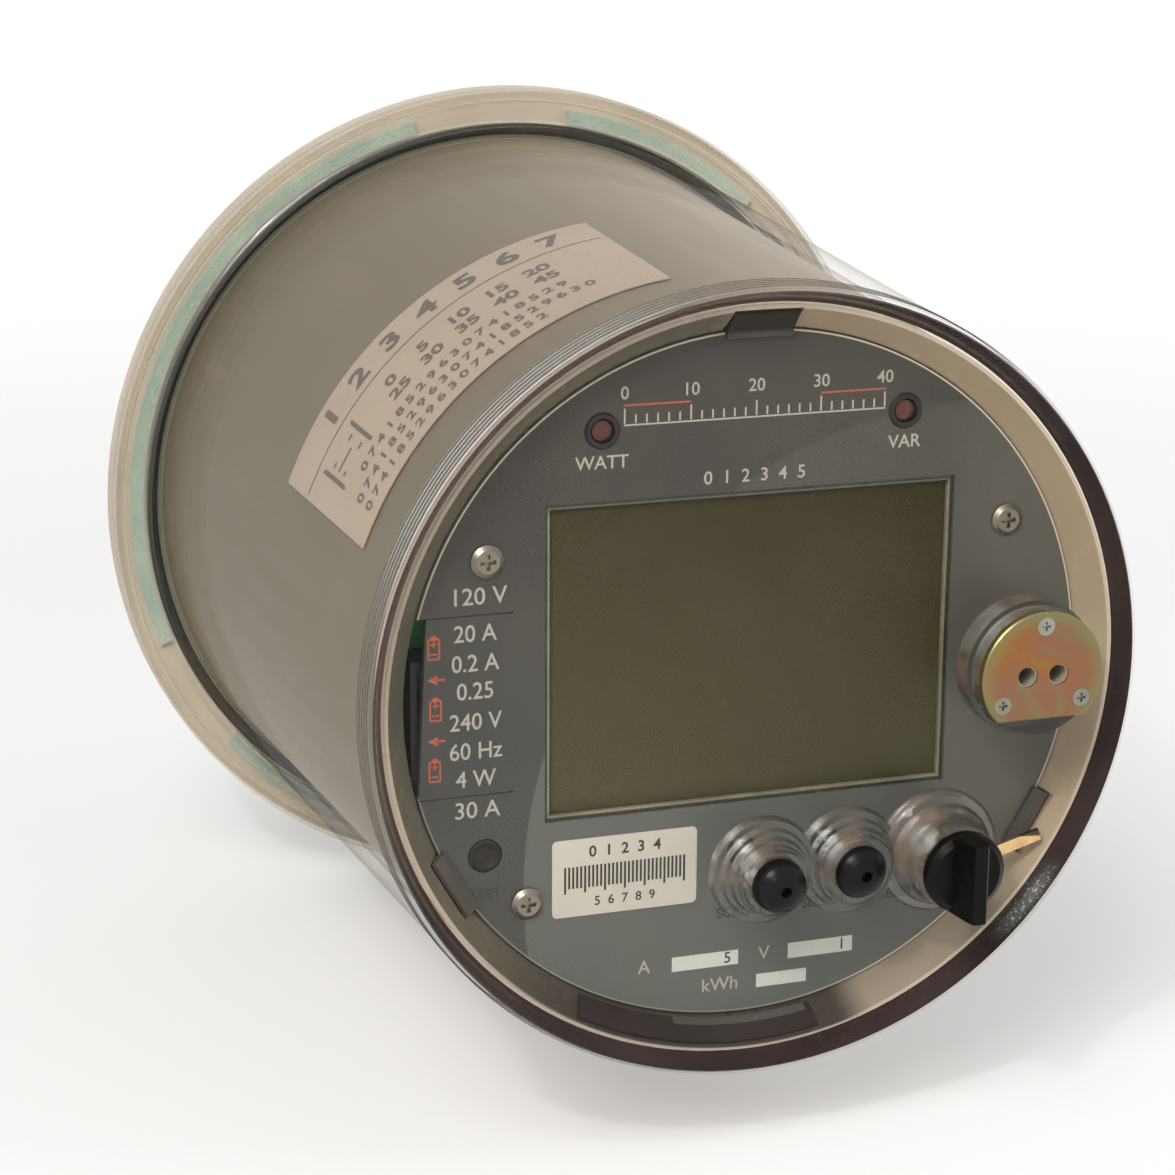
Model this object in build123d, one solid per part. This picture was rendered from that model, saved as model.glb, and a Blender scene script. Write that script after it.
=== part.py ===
from build123d import *
import math
import os

# Socket-mounted electronic electricity meter with a clear cover.
#
# Every sub-part is drawn in the meter's face frame, in millimetres:
#   x to the right and y up as the meter is read,
#   height h along the meter's axis, zero at the rear of the base flange and
#   growing towards the reader.
# stand_up() turns a finished piece into the stored frame: +Z up, the face
# towards -Y, the origin at the centre of the base flange's rear face.

# ---------------------------------------------------------------- dimensions

# socket interface
flange_radius = 88.3
base_flange_thickness = 3.0
base_deck_inset = 15.7
base_deck_height = 8.0
blade_thickness = 2.4
current_blade_width = 19.0
current_blade_reach = 24.0
potential_blade_width = 11.0
potential_blade_reach = 20.0
blade_column = 44.5
blade_row = 35.0
potential_column = 22.25
potential_row = 11.0
blade_top = 10.0
blade_slot_clearance = 0.1
blade_eye_radius = 2.0
barrier_height = 8.0
barrier_thickness = 2.4
barrier_row = 21.0
barrier_end_inset = 10.6
saddle_half_width = 7.0
saddle_half_length = 8.0
saddle_gap = 0.2
post_pad_radius = 5.0
post_pad_height = 4.0

# current path: U-shaped bars, each through a ring transformer
bar_width = 12.0
transformer_axis_height = 30.0
transformer_outer_radius = 16.0
transformer_inner_radius = 7.6
transformer_width = 20.0
transformer_bevel = 1.2
lead_radius = 1.2

# heights of the main levels
face_height = 154.0
window_top = 163.5
window_thickness = 3.0

# clear cover
cover_foot_inset = 8.0
cover_front_radius = 71.3
cover_wall = 2.4
cover_lift = 0.3
cover_flange_thickness = 3.3
cover_bead_width = 2.5
cover_bead_height = 0.6
cover_foot_recess = 1.2
cover_recess_inset = 1.2
cover_corner = 1.0
ridge_count = 5
ridge_pitch = 1.3
ridge_height = 0.25
ridge_width = 0.7
ridge_first_height = 155.4

# dark ring moulded into the cover's front corner
rim_inner_radius = 68.5
rim_low = 158.6
rim_rise = 4.2
rim_spread = 2.1
rim_wall = 0.6

# seals between base and cover
ring_seal_inset = 0.95
ring_seal_cord = 1.15
ring_seal_clearance = 0.1
gasket_inner_gap = 0.9
gasket_outer_gap = 0.5
gasket_thickness = 1.2
gasket_left_start_angle = 104.0
gasket_left_end_angle = 201.0
gasket_upper_right_start_angle = 47.0
gasket_upper_right_end_angle = 80.0
gasket_lower_left_start_angle = 220.0
gasket_lower_left_end_angle = 258.0
gasket_lower_right_start_angle = 282.0
gasket_lower_right_end_angle = 380.0

# inner housing
housing_rear_inset = 11.2
housing_front_radius = 68.3
housing_wall = 1.8
housing_front = 152.3
housing_ledge_height = 132.0
housing_ledge_thickness = 2.0
housing_ledge_reach = 3.6
holder_fit = 0.3
label_start_angle = 97.5
label_end_angle = 159.5
label_low = 88.0
label_high = 135.0
label_thickness = 0.2
label_seat = 0.2

# bezel ring between the housing and the cover
bezel_cone_radius = 63.25
bezel_cone_low = 153.4
bezel_lip_radius = 67.4
bezel_lip_height = 159.2
bezel_lip_width = 0.7
bezel_lip_thickness = 1.0
shield_start_angle = -120.0
shield_end_angle = -79.0
shield_thickness = 0.7
strip_start_angle = -103.0
strip_end_angle = -80.0
strip_thickness = 0.2
shield_slide_from = 1.6
shield_slide_to = 6.6
strip_slide_to = 3.2

# face plate
face_radius = 63.0
face_thickness = 1.6
display_width = 76.2
display_height = 57.3
display_centre = 6.0
frame_border = 1.0
frame_drop = 0.7
upper_screw_x = 48.5
upper_screw_y = 25.8
lower_screw_x = 41.4
lower_screw_y = -37.1
screw_head_radius = 2.9
screw_head_height = 1.1
screw_shank_radius = 1.5
screw_length = 10.0
recess_reach = 0.48
recess_slot = 0.26
lamp_x = 28.0
lamp_y = 47.0
lamp_radius = 2.2
lamp_collar_radius = 3.2
serial_left = -36.8
serial_right = -9.7
serial_low = -40.7
serial_high = -26.2

# battery flap
flap_hinge_x = -44.8
flap_free_top_x = -59.2
flap_free_low_x = -60.8
flap_low = -16.0
flap_high = 16.3
flap_gap = 0.15
flap_pin_radius = 0.42
flap_pin_clearance = 0.07
flap_pin_length = 1.4

# battery
battery_radius = 7.2
battery_length = 25.0
battery_x = -52.6
battery_y = -6.0
battery_height = 142.4
holder_wall = 1.2
holder_top = 151.0
holder_bottom = 133.6

# chassis behind the face plate
chassis_outer_radius = 64.3
chassis_inner_radius = 61.2
tab_width = 12.0
tab_lip_height = 0.9
high_tab_angle = 90.0
high_tab_reach = 67.0
high_tab_crest = 4.4
low_tab_angles = (-30.0, -150.0)
low_tab_reach = 64.9
low_tab_crest = 1.9
notch_clearance = 0.3
chassis_post_radius = 3.6
web_thickness = 2.4
peephole_low = 6.5
peephole_high = 17.5
peephole_depth = 9.4
ring_cut_x = -50.0

# boards
board_thickness = 1.6
board_radius = 60.4
display_board_height = 142.0
supply_left = -34.0
supply_half_depth = 14.0
supply_core_height = 24.0
supply_winding_headroom = 10.4
capacitor_x = 22.0
capacitor_y = 14.0
capacitor_radius = 8.0
capacitor_headroom = 8.4
chip_half_width = 10.0
chip_thickness = 2.4
ribbon_half_width = 12.0
ribbon_y = -49.0
ribbon_thickness = 0.8
power_board_height = 60.0
measuring_board_height = 100.0
board_post_radius = 3.0
board_post_x = 34.0
board_post_y = 45.0

# display module
display_margin = 2.9
glass_thickness = 2.4
backlight_thickness = 4.2
display_foot_inset = 4.0
display_foot_radius = 2.0

# push buttons
scroll_x = -1.0
select_x = 15.2
button_y = -31.9
press_stroke = 2.5
select_drop = 2.5
plunger_radius = 4.8
plunger_fit = 0.07
plunger_skirt_rise = 6.1
plunger_shoulder_rise = 8.7
plunger_tip_rise = 12.0
plunger_eye_radius = 1.0
plunger_eye_depth = 1.6
rod_radius = 1.5
rod_reach = 3.0
rod_collar_radius = 2.4
rod_collar_thickness = 0.7
turret_rise = 7.9
turret_tiers = ((10.0, 1.8), (8.5, 3.2), (7.4, 5.0), (6.6, 6.4))
select_turret_drop = 1.2
turret_floor_thickness = 0.5
turret_wall = 1.1
spring_radius = 3.3
spring_wire = 0.35
spring_turns = 4.0
key_gap = 0.3
key_cap_radius = 2.6
key_flange_radius = 3.4
key_flange_thickness = 0.9
key_stem_radius = 1.2
key_stem_end = 149.2
key_hole_clearance = 0.25
switch_size = 6.0
switch_height = 2.4
switch_dome_radius = 1.5
switch_dome_height = 0.4
test_x = -49.0
test_y = -27.4
test_radius = 2.9
test_clearance = 0.2
test_stroke = 1.0

# reset knob
reset_x = 32.5
reset_pad_radius = 11.5
reset_step_radius = 9.0
reset_neck_radius = 7.9
knob_radius = 7.4
knob_low_rise = 10.8
knob_disc_thickness = 3.1
wing_height = 5.6
wing_length = 14.4
wing_thickness = 2.6
wing_root = 6.0
shaft_radius = 3.0
shaft_fit = 0.07
shaft_reach = 2.9
shaft_collar_radius = 4.6
lever_width = 2.2
lever_thickness = 0.8
lever_drop = 1.7
lever_bend_x = 13.5
lever_bend_y = -4.0
lever_tip_x = 23.0
lever_tip_y = -1.3

# optical port
port_x = 47.6
port_y = 2.1
port_base_radius = 12.4
port_base_rise = 4.5
port_neck_radius = 11.3
port_neck_rise = 3.5
port_plate_radius = 11.65
port_plate_thickness = 1.5
port_plate_flat = 8.0
port_hole_spacing = 6.0
port_hole_radius = 1.9
port_hole_floor_rise = 2.5
port_lens_thickness = 1.0
port_screw_circle = 9.0
port_screw_angles = (89.0, -31.5, -147.0)
port_screw_head_radius = 1.7
port_screw_head_height = 0.9
port_screw_rim = 0.15
port_screw_clearance = 0.05
port_screw_recess = 0.5
port_screw_shank_radius = 0.8
port_screw_length = 5.0

face_underside = face_height - face_thickness
window_underside = window_top - window_thickness
cover_low = base_flange_thickness + cover_lift
cover_flange_top = cover_low + cover_flange_thickness
base_deck_radius = flange_radius - base_deck_inset
barrier_half_length = base_deck_radius - barrier_end_inset
cover_foot_radius = flange_radius - cover_foot_inset
cover_bead_radius = flange_radius - cover_bead_width
cover_recess_radius = cover_bead_radius - cover_recess_inset
ring_seal_radius = cover_foot_radius - ring_seal_inset
gasket_inner_radius = cover_foot_radius + gasket_inner_gap
gasket_outer_radius = cover_recess_radius - gasket_outer_gap
housing_rear_radius = flange_radius - housing_rear_inset
turret_top = window_top + turret_rise
select_turret_top = turret_top - select_turret_drop
turret_floor = window_top + turret_floor_thickness
plunger_skirt = window_top + plunger_skirt_rise
plunger_shoulder = window_top + plunger_shoulder_rise
plunger_tip = window_top + plunger_tip_rise
rod_end = window_underside - rod_reach
knob_low = window_top + knob_low_rise
knob_disc_top = knob_low + knob_disc_thickness
knob_top = knob_disc_top + wing_height
shaft_low = window_underside - shaft_reach
lever_low = window_underside - lever_drop
port_base_top = window_top + port_base_rise
port_neck_top = port_base_top + port_neck_rise
port_hole_floor = window_top + port_hole_floor_rise

BOTTOM = (Align.CENTER, Align.CENTER, Align.MIN)


# ------------------------------------------------------------------- helpers

def rod(x, y, radius, low, high):
    """Upright round bar from height low to height high."""
    return Pos(x, y, low) * Cylinder(radius, high - low, align=BOTTOM)


def block(left, right, bottom, top, low, high):
    """Box given by its six faces."""
    box = Box(right - left, top - bottom, high - low, align=BOTTOM)
    return Pos((left + right) / 2, (bottom + top) / 2, low) * box


def turned(*outline):
    """Solid of revolution about the meter's axis from (radius, height) points."""
    edges = Polyline(*[(radius, 0, height) for radius, height in outline], close=True)
    return revolve(make_face(edges), Axis.Z, 360)


def turned_at(x, y, *outline):
    """Solid of revolution about an axis through (x, y)."""
    return Pos(x, y, 0) * turned(*outline)


def turned_arc(start, end, *outline):
    """Part of a solid of revolution between two angles in degrees."""
    edges = Polyline(*[(radius, 0, height) for radius, height in outline], close=True)
    return Rot(0, 0, start) * revolve(make_face(edges), Axis.Z, end - start)


def sheet(points, low, high):
    """Plate with a polygon outline between two heights."""
    outline = make_face(Polyline(*[(x, y, low) for x, y in points], close=True))
    return extrude(outline, high - low, dir=(0, 0, 1))


def mirrored_places(x, y):
    """Four places mirrored left to right and top to bottom."""
    return [(x, y), (-x, y), (x, -y), (-x, -y)]


def union(pieces):
    """One solid, or one group of separate solids, from a list of pieces."""
    result = pieces[0]
    for piece in pieces[1:]:
        result = result + piece
    return result


def stand_up(shape):
    """Turn a piece from the face frame into the stored frame."""
    return Rot(90, 0, 0) * shape


def cross_recess(x, y, radius, top, depth):
    """Cross for a screwdriver in a head of a given radius, as a solid to cut away."""
    reach = radius * recess_reach
    half = radius * recess_slot / 2
    wide = block(x - reach, x + reach, y - half, y + half, top - depth, top)
    tall = block(x - half, x + half, y - reach, y + reach, top - depth, top)
    return wide + tall


# ------------------------------------------------------- base and its blades

def base_plate():
    """Moulded base: flange, raised deck, blade slots and rear barriers."""
    groove_in = ring_seal_radius - ring_seal_cord - ring_seal_clearance
    groove_out = ring_seal_radius + ring_seal_cord + ring_seal_clearance
    groove_floor = base_flange_thickness - ring_seal_cord
    body = turned(
        (0, 0),
        (flange_radius, 0),
        (flange_radius, base_flange_thickness),
        (groove_out, base_flange_thickness),
        (groove_out, groove_floor),
        (groove_in, groove_floor),
        (groove_in, base_flange_thickness),
        (base_deck_radius, base_flange_thickness),
        (base_deck_radius, base_deck_height),
        (0, base_deck_height),
    )
    for side in (1, -1):
        row = side * barrier_row
        low, high = row - barrier_thickness / 2, row + barrier_thickness / 2
        body += block(-barrier_half_length, barrier_half_length, low, high, -barrier_height, 0)
    for column in (-blade_column, 0, blade_column):
        left, right = column - saddle_half_width, column + saddle_half_width
        low, high = -saddle_half_length, saddle_half_length
        top = transformer_axis_height - transformer_outer_radius - saddle_gap
        body += block(left, right, low, high, base_deck_height, top)
    for x, y in mirrored_places(board_post_x, board_post_y):
        body += rod(x, y, post_pad_radius, base_deck_height, base_deck_height + post_pad_height)
    for x in (-blade_column, 0, blade_column):
        for y in (-blade_row, blade_row):
            body -= blade(x, y, current_blade_width, base_deck_height, blade_slot_clearance, 1)
    for x, y in mirrored_places(potential_column, potential_row):
        body -= blade(x, y, potential_blade_width, base_deck_height, blade_slot_clearance, 1)
    return body


def blade(x, y, width, reach, clearance, top):
    """Plain flat blade, or with a clearance the slot that takes it."""
    half = blade_thickness / 2 + clearance
    across = width / 2 + clearance
    return block(x - half, x + half, y - across, y + across, -reach, base_deck_height + top)


def socket_blade(x, y, width, reach):
    """Blade with chamfered tip corners and an eye near the tip."""
    top = blade_top - base_deck_height
    piece = blade(x, y, width, reach, 0, top)
    for side in (1, -1):
        corner = Pos(x, y + side * width / 2, -reach) * Rot(45, 0, 0)
        piece -= corner * Box(blade_thickness * 2, 3.4, 3.4)
    eye = Pos(x, y, -reach * 0.55) * Rot(0, 90, 0) * Cylinder(blade_eye_radius, blade_thickness * 3)
    return piece - eye


def blade_row_group(y):
    """Three current blades of one row."""
    columns = (-blade_column, 0, blade_column)
    return union([socket_blade(x, y, current_blade_width, current_blade_reach) for x in columns])


def potential_blades():
    """Four narrow blades that pick up the line voltages."""
    places = mirrored_places(potential_column, potential_row)
    return union([socket_blade(x, y, potential_blade_width, potential_blade_reach) for x, y in places])


def potential_leads():
    """Stiff leads from the potential blades up to the power board."""
    places = mirrored_places(potential_column, potential_row)
    return union([rod(x, y, lead_radius, blade_top, power_board_height) for x, y in places])


def busbar(x):
    """Flat U-shaped bar from a line blade to the load blade below it."""
    half = blade_thickness / 2
    top = transformer_axis_height + bar_width / 2
    reach = blade_row + bar_width / 2
    outer = block(x - half, x + half, -reach, reach, blade_top, top)
    inner_reach = reach - bar_width
    return outer - block(x - half, x + half, -inner_reach, inner_reach, blade_top, top - bar_width)


def current_transformer(x):
    """Ring core in a round case, its hole along the bar that passes through."""
    case = Cylinder(transformer_outer_radius, transformer_width)
    case = chamfer(case.edges().filter_by(GeomType.CIRCLE), transformer_bevel)
    case -= Cylinder(transformer_inner_radius, transformer_width * 2)
    return Pos(x, 0, transformer_axis_height) * Rot(90, 0, 0) * case


def gasket(start, end):
    """Foam strip lying on the base flange between two angles."""
    top = base_flange_thickness + gasket_thickness
    return turned_arc(
        start,
        end,
        (gasket_inner_radius, base_flange_thickness),
        (gasket_outer_radius, base_flange_thickness),
        (gasket_outer_radius, top),
        (gasket_inner_radius, top),
    )


def cover_seal_ring():
    """Round rubber ring in the groove of the base flange."""
    ring = Torus(ring_seal_radius, ring_seal_cord)
    return Pos(0, 0, base_flange_thickness + ring_seal_clearance / 2) * ring


# -------------------------------------------------------------- inner housing

def housing_radius(height):
    """Outer radius of the tapered housing at a height."""
    share = (height - base_flange_thickness) / (housing_front - base_flange_thickness)
    return housing_rear_radius + share * (housing_front_radius - housing_rear_radius)


def inner_housing():
    """Tapered can around the boards, with a ledge that carries the chassis."""
    ledge_top = housing_ledge_height
    ledge_low = ledge_top - housing_ledge_thickness
    inner_at_ledge = housing_radius(ledge_top) - housing_wall
    ledge_radius = chassis_outer_radius - housing_ledge_reach
    return turned(
        (housing_rear_radius, base_flange_thickness),
        (housing_front_radius, housing_front),
        (housing_front_radius - housing_wall + 0.2, housing_front),
        (inner_at_ledge, ledge_top),
        (ledge_radius, ledge_top),
        (ledge_radius, ledge_low),
        (inner_at_ledge, ledge_low - 2),
        (housing_rear_radius - housing_wall, base_flange_thickness),
    )


def housing_label():
    """Thin plain label wrapped on the housing's upper left side."""
    rear = housing_radius(label_low) + label_seat
    front = housing_radius(label_high) + label_seat
    return turned_arc(
        label_start_angle,
        label_end_angle,
        (rear, label_low),
        (front, label_high),
        (front + label_thickness, label_high),
        (rear + label_thickness, label_low),
    )


def bezel_section(slide, lift):
    """Point on the bezel's conical face, slid along it and lifted off it."""
    run = bezel_lip_radius - bezel_cone_radius
    rise = bezel_lip_height - bezel_cone_low
    length = math.hypot(run, rise)
    along = (run / length, rise / length)
    inward = (-rise / length, run / length)
    radius = bezel_cone_radius + slide * along[0] + lift * inward[0]
    height = bezel_cone_low + slide * along[1] + lift * inward[1]
    return (radius, height)


def bezel_ring():
    """Conical ring between the face plate and the cover, notched for the tabs."""
    rim = bezel_lip_radius + bezel_lip_width
    lip_low = bezel_lip_height - bezel_lip_thickness
    skirt_out = housing_front_radius - 0.1
    skirt_in = skirt_out - 1.5
    ring = turned(
        (bezel_cone_radius, bezel_cone_low),
        (bezel_lip_radius, bezel_lip_height),
        (rim, bezel_lip_height),
        (rim, lip_low),
        (skirt_out, bezel_lip_height - 3.3),
        (skirt_out, housing_front),
        (skirt_in, housing_front),
        (skirt_in, bezel_cone_low + 0.6),
        (bezel_cone_radius + 0.9, bezel_cone_low),
    )
    half = tab_width / 2 + notch_clearance
    for angle, reach, _ in tab_places():
        edge = reach + notch_clearance
        notch = block(chassis_inner_radius, edge, -half, half, housing_front, window_underside)
        ring -= Rot(0, 0, angle) * notch
    return ring


def bezel_cover_strip(start, end, slide_from, slide_to, lift, thickness):
    """Strip lying on the bezel's conical face."""
    return turned_arc(
        start,
        end,
        bezel_section(slide_from, lift),
        bezel_section(slide_to, lift),
        bezel_section(slide_to, lift + thickness),
        bezel_section(slide_from, lift + thickness),
    )


def lower_shield():
    """Dark strip on the lower part of the bezel."""
    return bezel_cover_strip(
        shield_start_angle,
        shield_end_angle,
        shield_slide_from,
        shield_slide_to,
        0,
        shield_thickness,
    )


def shield_strip():
    """Narrow film on the shield's edge nearest the face plate."""
    return bezel_cover_strip(
        strip_start_angle,
        strip_end_angle,
        shield_slide_from,
        strip_slide_to,
        shield_thickness,
        strip_thickness,
    )


# --------------------------------------------------------------------- chassis

def tab_places():
    """Angle, reach and crest height of each of the three hooks."""
    low = [(angle, low_tab_reach, low_tab_crest) for angle in low_tab_angles]
    return [(high_tab_angle, high_tab_reach, high_tab_crest)] + low


def chassis_tab(reach, crest):
    """Hook that holds the face plate's edge; the high one reaches over the bezel."""
    half = tab_width / 2
    outline = [
        (chassis_inner_radius + 0.5, face_height),
        (chassis_inner_radius + 0.5, face_height + tab_lip_height),
        (face_radius + 0.2, face_height + tab_lip_height + 0.7),
        (reach - 0.6, face_height + crest),
        (reach, face_height + crest - 0.4),
        (chassis_outer_radius, face_height + 0.2),
        (chassis_outer_radius, face_underside - 2),
        (face_radius + 0.2, face_underside - 2),
        (face_radius + 0.2, face_height),
    ]
    edges = Polyline(*[(radius, half, height) for radius, height in outline], close=True)
    return extrude(make_face(edges), tab_width, dir=(0, -1, 0))


def chassis_frame():
    """Ring that carries the face plate, with screw posts and three hooks."""
    frame = rod(0, 0, chassis_outer_radius, housing_ledge_height, face_underside)
    frame -= rod(0, 0, chassis_inner_radius, housing_ledge_height, face_underside)
    # opening in the ring beside the flap's upper corner
    edge = -chassis_outer_radius - 1
    floor = face_underside - peephole_depth
    frame -= block(edge, ring_cut_x, peephole_low, peephole_high, floor, face_underside)
    # clearance for the battery holder
    holder_half = battery_length / 2 + 2 * holder_fit + holder_wall
    holder_low = battery_y - holder_half
    holder_high = battery_y + holder_half
    frame -= block(edge, ring_cut_x, holder_low, holder_high, holder_bottom, face_underside)
    for angle, reach, crest in tab_places():
        frame += Rot(0, 0, angle) * chassis_tab(reach, crest)
    for x, y in face_screw_places():
        angle = math.degrees(math.atan2(y, x))
        reach = math.hypot(x, y)
        low = display_board_height + board_thickness
        post = rod(reach, 0, chassis_post_radius, low, face_underside)
        web = web_thickness / 2
        post += block(reach, chassis_inner_radius + 1, -web, web, low, face_underside)
        frame += Rot(0, 0, angle) * post
    screw_low = face_height - screw_length - 0.5
    for x, y in face_screw_places():
        frame -= rod(x, y, screw_shank_radius, screw_low, face_underside)
    return frame


def face_screw_places():
    """Centres of the four face plate screws."""
    upper = [(-upper_screw_x, upper_screw_y), (upper_screw_x, upper_screw_y)]
    lower = [(-lower_screw_x, lower_screw_y), (lower_screw_x, lower_screw_y)]
    return upper + lower


# ----------------------------------------------------------- boards and supply

def round_board(low):
    """Round circuit board lying at a height."""
    return rod(0, 0, board_radius, low, low + board_thickness)


def board_posts(low, high):
    """Four round posts between two levels."""
    places = mirrored_places(board_post_x, board_post_y)
    return union([rod(x, y, board_post_radius, low, high) for x, y in places])


def supply_transformer():
    """Small mains transformer on the power board."""
    low = power_board_height + board_thickness
    half = supply_half_depth
    core = block(supply_left, 0, -half, half, low + 4, low + supply_core_height)
    winding_high = measuring_board_height - supply_winding_headroom
    winding = block(supply_left + 6, -6, -half - 4, half + 4, low, winding_high)
    return core + winding


def supply_capacitors():
    """Two reservoir capacitors on the power board."""
    low = power_board_height + board_thickness
    high = measuring_board_height - capacitor_headroom
    places = [(capacitor_x, capacitor_y), (capacitor_x, -capacitor_y)]
    return union([rod(x, y, capacitor_radius, low, high) for x, y in places])


def processor_chip():
    """Flat square chip on the measuring board."""
    low = measuring_board_height + board_thickness
    half = chip_half_width
    return block(-half, half, -half, half, low, low + chip_thickness)


def ribbon_cable():
    """Flat cable between the measuring board and the display board."""
    low = measuring_board_height + board_thickness
    left, right = -ribbon_half_width, ribbon_half_width
    return block(left, right, ribbon_y, ribbon_y + ribbon_thickness, low, display_board_height)


def display_board():
    """Board behind the face plate, cut away for the battery holder."""
    board = rod(0, 0, board_radius + 0.5, display_board_height, display_board_height + board_thickness)
    notch_low = battery_y - battery_length / 2 - holder_wall - 0.6
    notch_high = battery_y + battery_length / 2 + holder_wall + 0.6
    notch_right = battery_x + battery_radius + holder_wall + 0.6
    high = display_board_height + board_thickness
    return board - block(-board_radius - 5, notch_right, notch_low, notch_high, display_board_height, high)


def display_posts():
    """Four short posts that carry the display module on its board."""
    low = display_board_height + board_thickness
    high = face_underside - glass_thickness - backlight_thickness
    x = display_width / 2 - display_foot_inset
    top = display_centre + display_height / 2 - display_foot_inset
    bottom = display_centre - display_height / 2 + display_foot_inset
    places = [(-x, top), (x, top), (-x, bottom), (x, bottom)]
    return union([rod(x, y, display_foot_radius, low, high) for x, y in places])


def key_switches():
    """Small push switches under the two keys and the test button."""
    low = display_board_height + board_thickness
    half = switch_size / 2
    pieces = []
    for x, y in ((scroll_x, button_y), (select_x, button_y), (test_x, test_y)):
        pieces.append(block(x - half, x + half, y - half, y + half, low, low + switch_height))
        dome_low = low + switch_height
        pieces.append(rod(x, y, switch_dome_radius, dome_low, dome_low + switch_dome_height))
    return union(pieces)


# -------------------------------------------------------------- display module

def display_rectangle(margin, low, high):
    """Rectangle concentric with the display window, grown by a margin."""
    half_width = display_width / 2 + margin
    half_height = display_height / 2 + margin
    top = display_centre + half_height
    bottom = display_centre - half_height
    return block(-half_width, half_width, bottom, top, low, high)


def lcd_glass():
    """Glass sandwich of the display, against the face plate's rear."""
    return display_rectangle(display_margin, face_underside - glass_thickness, face_underside)


def lcd_backlight():
    """Light box behind the glass, with its four feet on the board."""
    high = face_underside - glass_thickness
    box = display_rectangle(display_margin - 0.5, high - backlight_thickness, high)
    return box + display_posts()


def lcd_frame():
    """Thin dark border inside the display window."""
    high = face_underside + face_thickness - frame_drop
    outer = display_rectangle(-0.1, face_underside, high)
    return outer - display_rectangle(-frame_border, face_underside, high)


# ------------------------------------------------------------------ face plate

def key_hole_radius():
    """Radius of the holes that the two keys stand in."""
    return key_cap_radius + key_hole_clearance


def faceplate():
    """Round face plate with window, flap opening, holes and hinge sockets."""
    plate = rod(0, 0, face_radius, face_underside, face_height)
    plate -= display_rectangle(0, face_underside, face_height)
    edge = flap_hinge_x + face_thickness / 2 + flap_gap
    low, high = flap_low - flap_gap, flap_high + flap_gap
    plate -= block(-face_radius - 1, edge, low, high, face_underside, face_height)
    socket = flap_pin_radius + flap_pin_clearance
    span = flap_high - flap_low + 2 * (flap_pin_length + 0.1)
    middle = (flap_high + flap_low) / 2
    plate -= hinge_bar(socket, middle, span)
    for x, y in face_screw_places():
        plate -= rod(x, y, screw_shank_radius + 0.2, face_underside, face_height)
    for x in (-lamp_x, lamp_x):
        plate -= rod(x, lamp_y, lamp_collar_radius - 0.5, face_underside, face_height)
    for x in (scroll_x, select_x):
        plate -= rod(x, button_y, key_hole_radius(), face_underside, face_height)
    plate -= rod(test_x, test_y, test_radius + test_clearance, face_underside, face_height)
    for angle, _, _ in tab_places():
        half = tab_width / 2 + notch_clearance
        edge = face_radius - notch_clearance
        gap = block(edge, face_radius + 1, -half, half, face_underside, face_height)
        plate -= Rot(0, 0, angle) * gap
    return plate


def hinge_bar(radius, middle, length):
    """Round bar along the flap's hinge line."""
    height = face_height - face_thickness / 2
    return Pos(flap_hinge_x, middle, height) * Rot(90, 0, 0) * Cylinder(radius, length)


def battery_flap():
    """Flap over the battery: rounded hinge edge, two pins and a straight free edge."""
    middle = (flap_high + flap_low) / 2
    length = flap_high - flap_low
    outline = [
        (flap_hinge_x, flap_low),
        (flap_hinge_x, flap_high),
        (flap_free_top_x, flap_high),
        (flap_free_low_x, flap_low),
    ]
    leaf = sheet(outline, face_underside, face_height)
    leaf += hinge_bar(face_thickness / 2, middle, length)
    leaf += hinge_bar(flap_pin_radius, middle, length + 2 * flap_pin_length)
    return leaf


def faceplate_screws():
    """Four pan-head cross-recess screws."""
    pieces = []
    for x, y in face_screw_places():
        top = face_height + screw_head_height
        head = turned_at(
            x,
            y,
            (0, face_height),
            (screw_head_radius, face_height),
            (screw_head_radius, face_height + screw_head_height * 0.45),
            (screw_head_radius * 0.72, top),
            (0, top),
        )
        shank = rod(x, y, screw_shank_radius, face_height - screw_length, face_height)
        pieces.append(head + shank - cross_recess(x, y, screw_head_radius, top, 0.9))
    return union(pieces)


def led_collars():
    """Two dark collars around the pulse lamps."""
    pieces = []
    for x in (-lamp_x, lamp_x):
        pieces.append(turned_at(
            x,
            lamp_y,
            (lamp_radius, face_underside),
            (lamp_collar_radius - 0.5, face_underside),
            (lamp_collar_radius - 0.5, face_height),
            (lamp_collar_radius, face_height),
            (lamp_collar_radius - 0.3, face_height + 0.4),
            (lamp_radius, face_height + 0.4),
        ))
    return union(pieces)


def led_lenses():
    """Two round-topped lamps, each on a stem down to the display board."""
    low = display_board_height + board_thickness
    pieces = []
    for x in (-lamp_x, lamp_x):
        pieces.append(turned_at(
            x,
            lamp_y,
            (0, low),
            (lamp_radius - 0.05, low),
            (lamp_radius - 0.05, face_height - 0.8),
            (lamp_radius * 0.8, face_height - 0.2),
            (lamp_radius * 0.4, face_height + 0.1),
            (0, face_height + 0.15),
        ))
    return union(pieces)


def serial_label():
    """White plate label with rounded corners."""
    label = block(serial_left, serial_right, serial_low, serial_high, face_height, face_height + 0.2)
    return fillet(label.edges().filter_by(Axis.Z), 1.0)


# --------------------------------------------------------------------- battery

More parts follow.
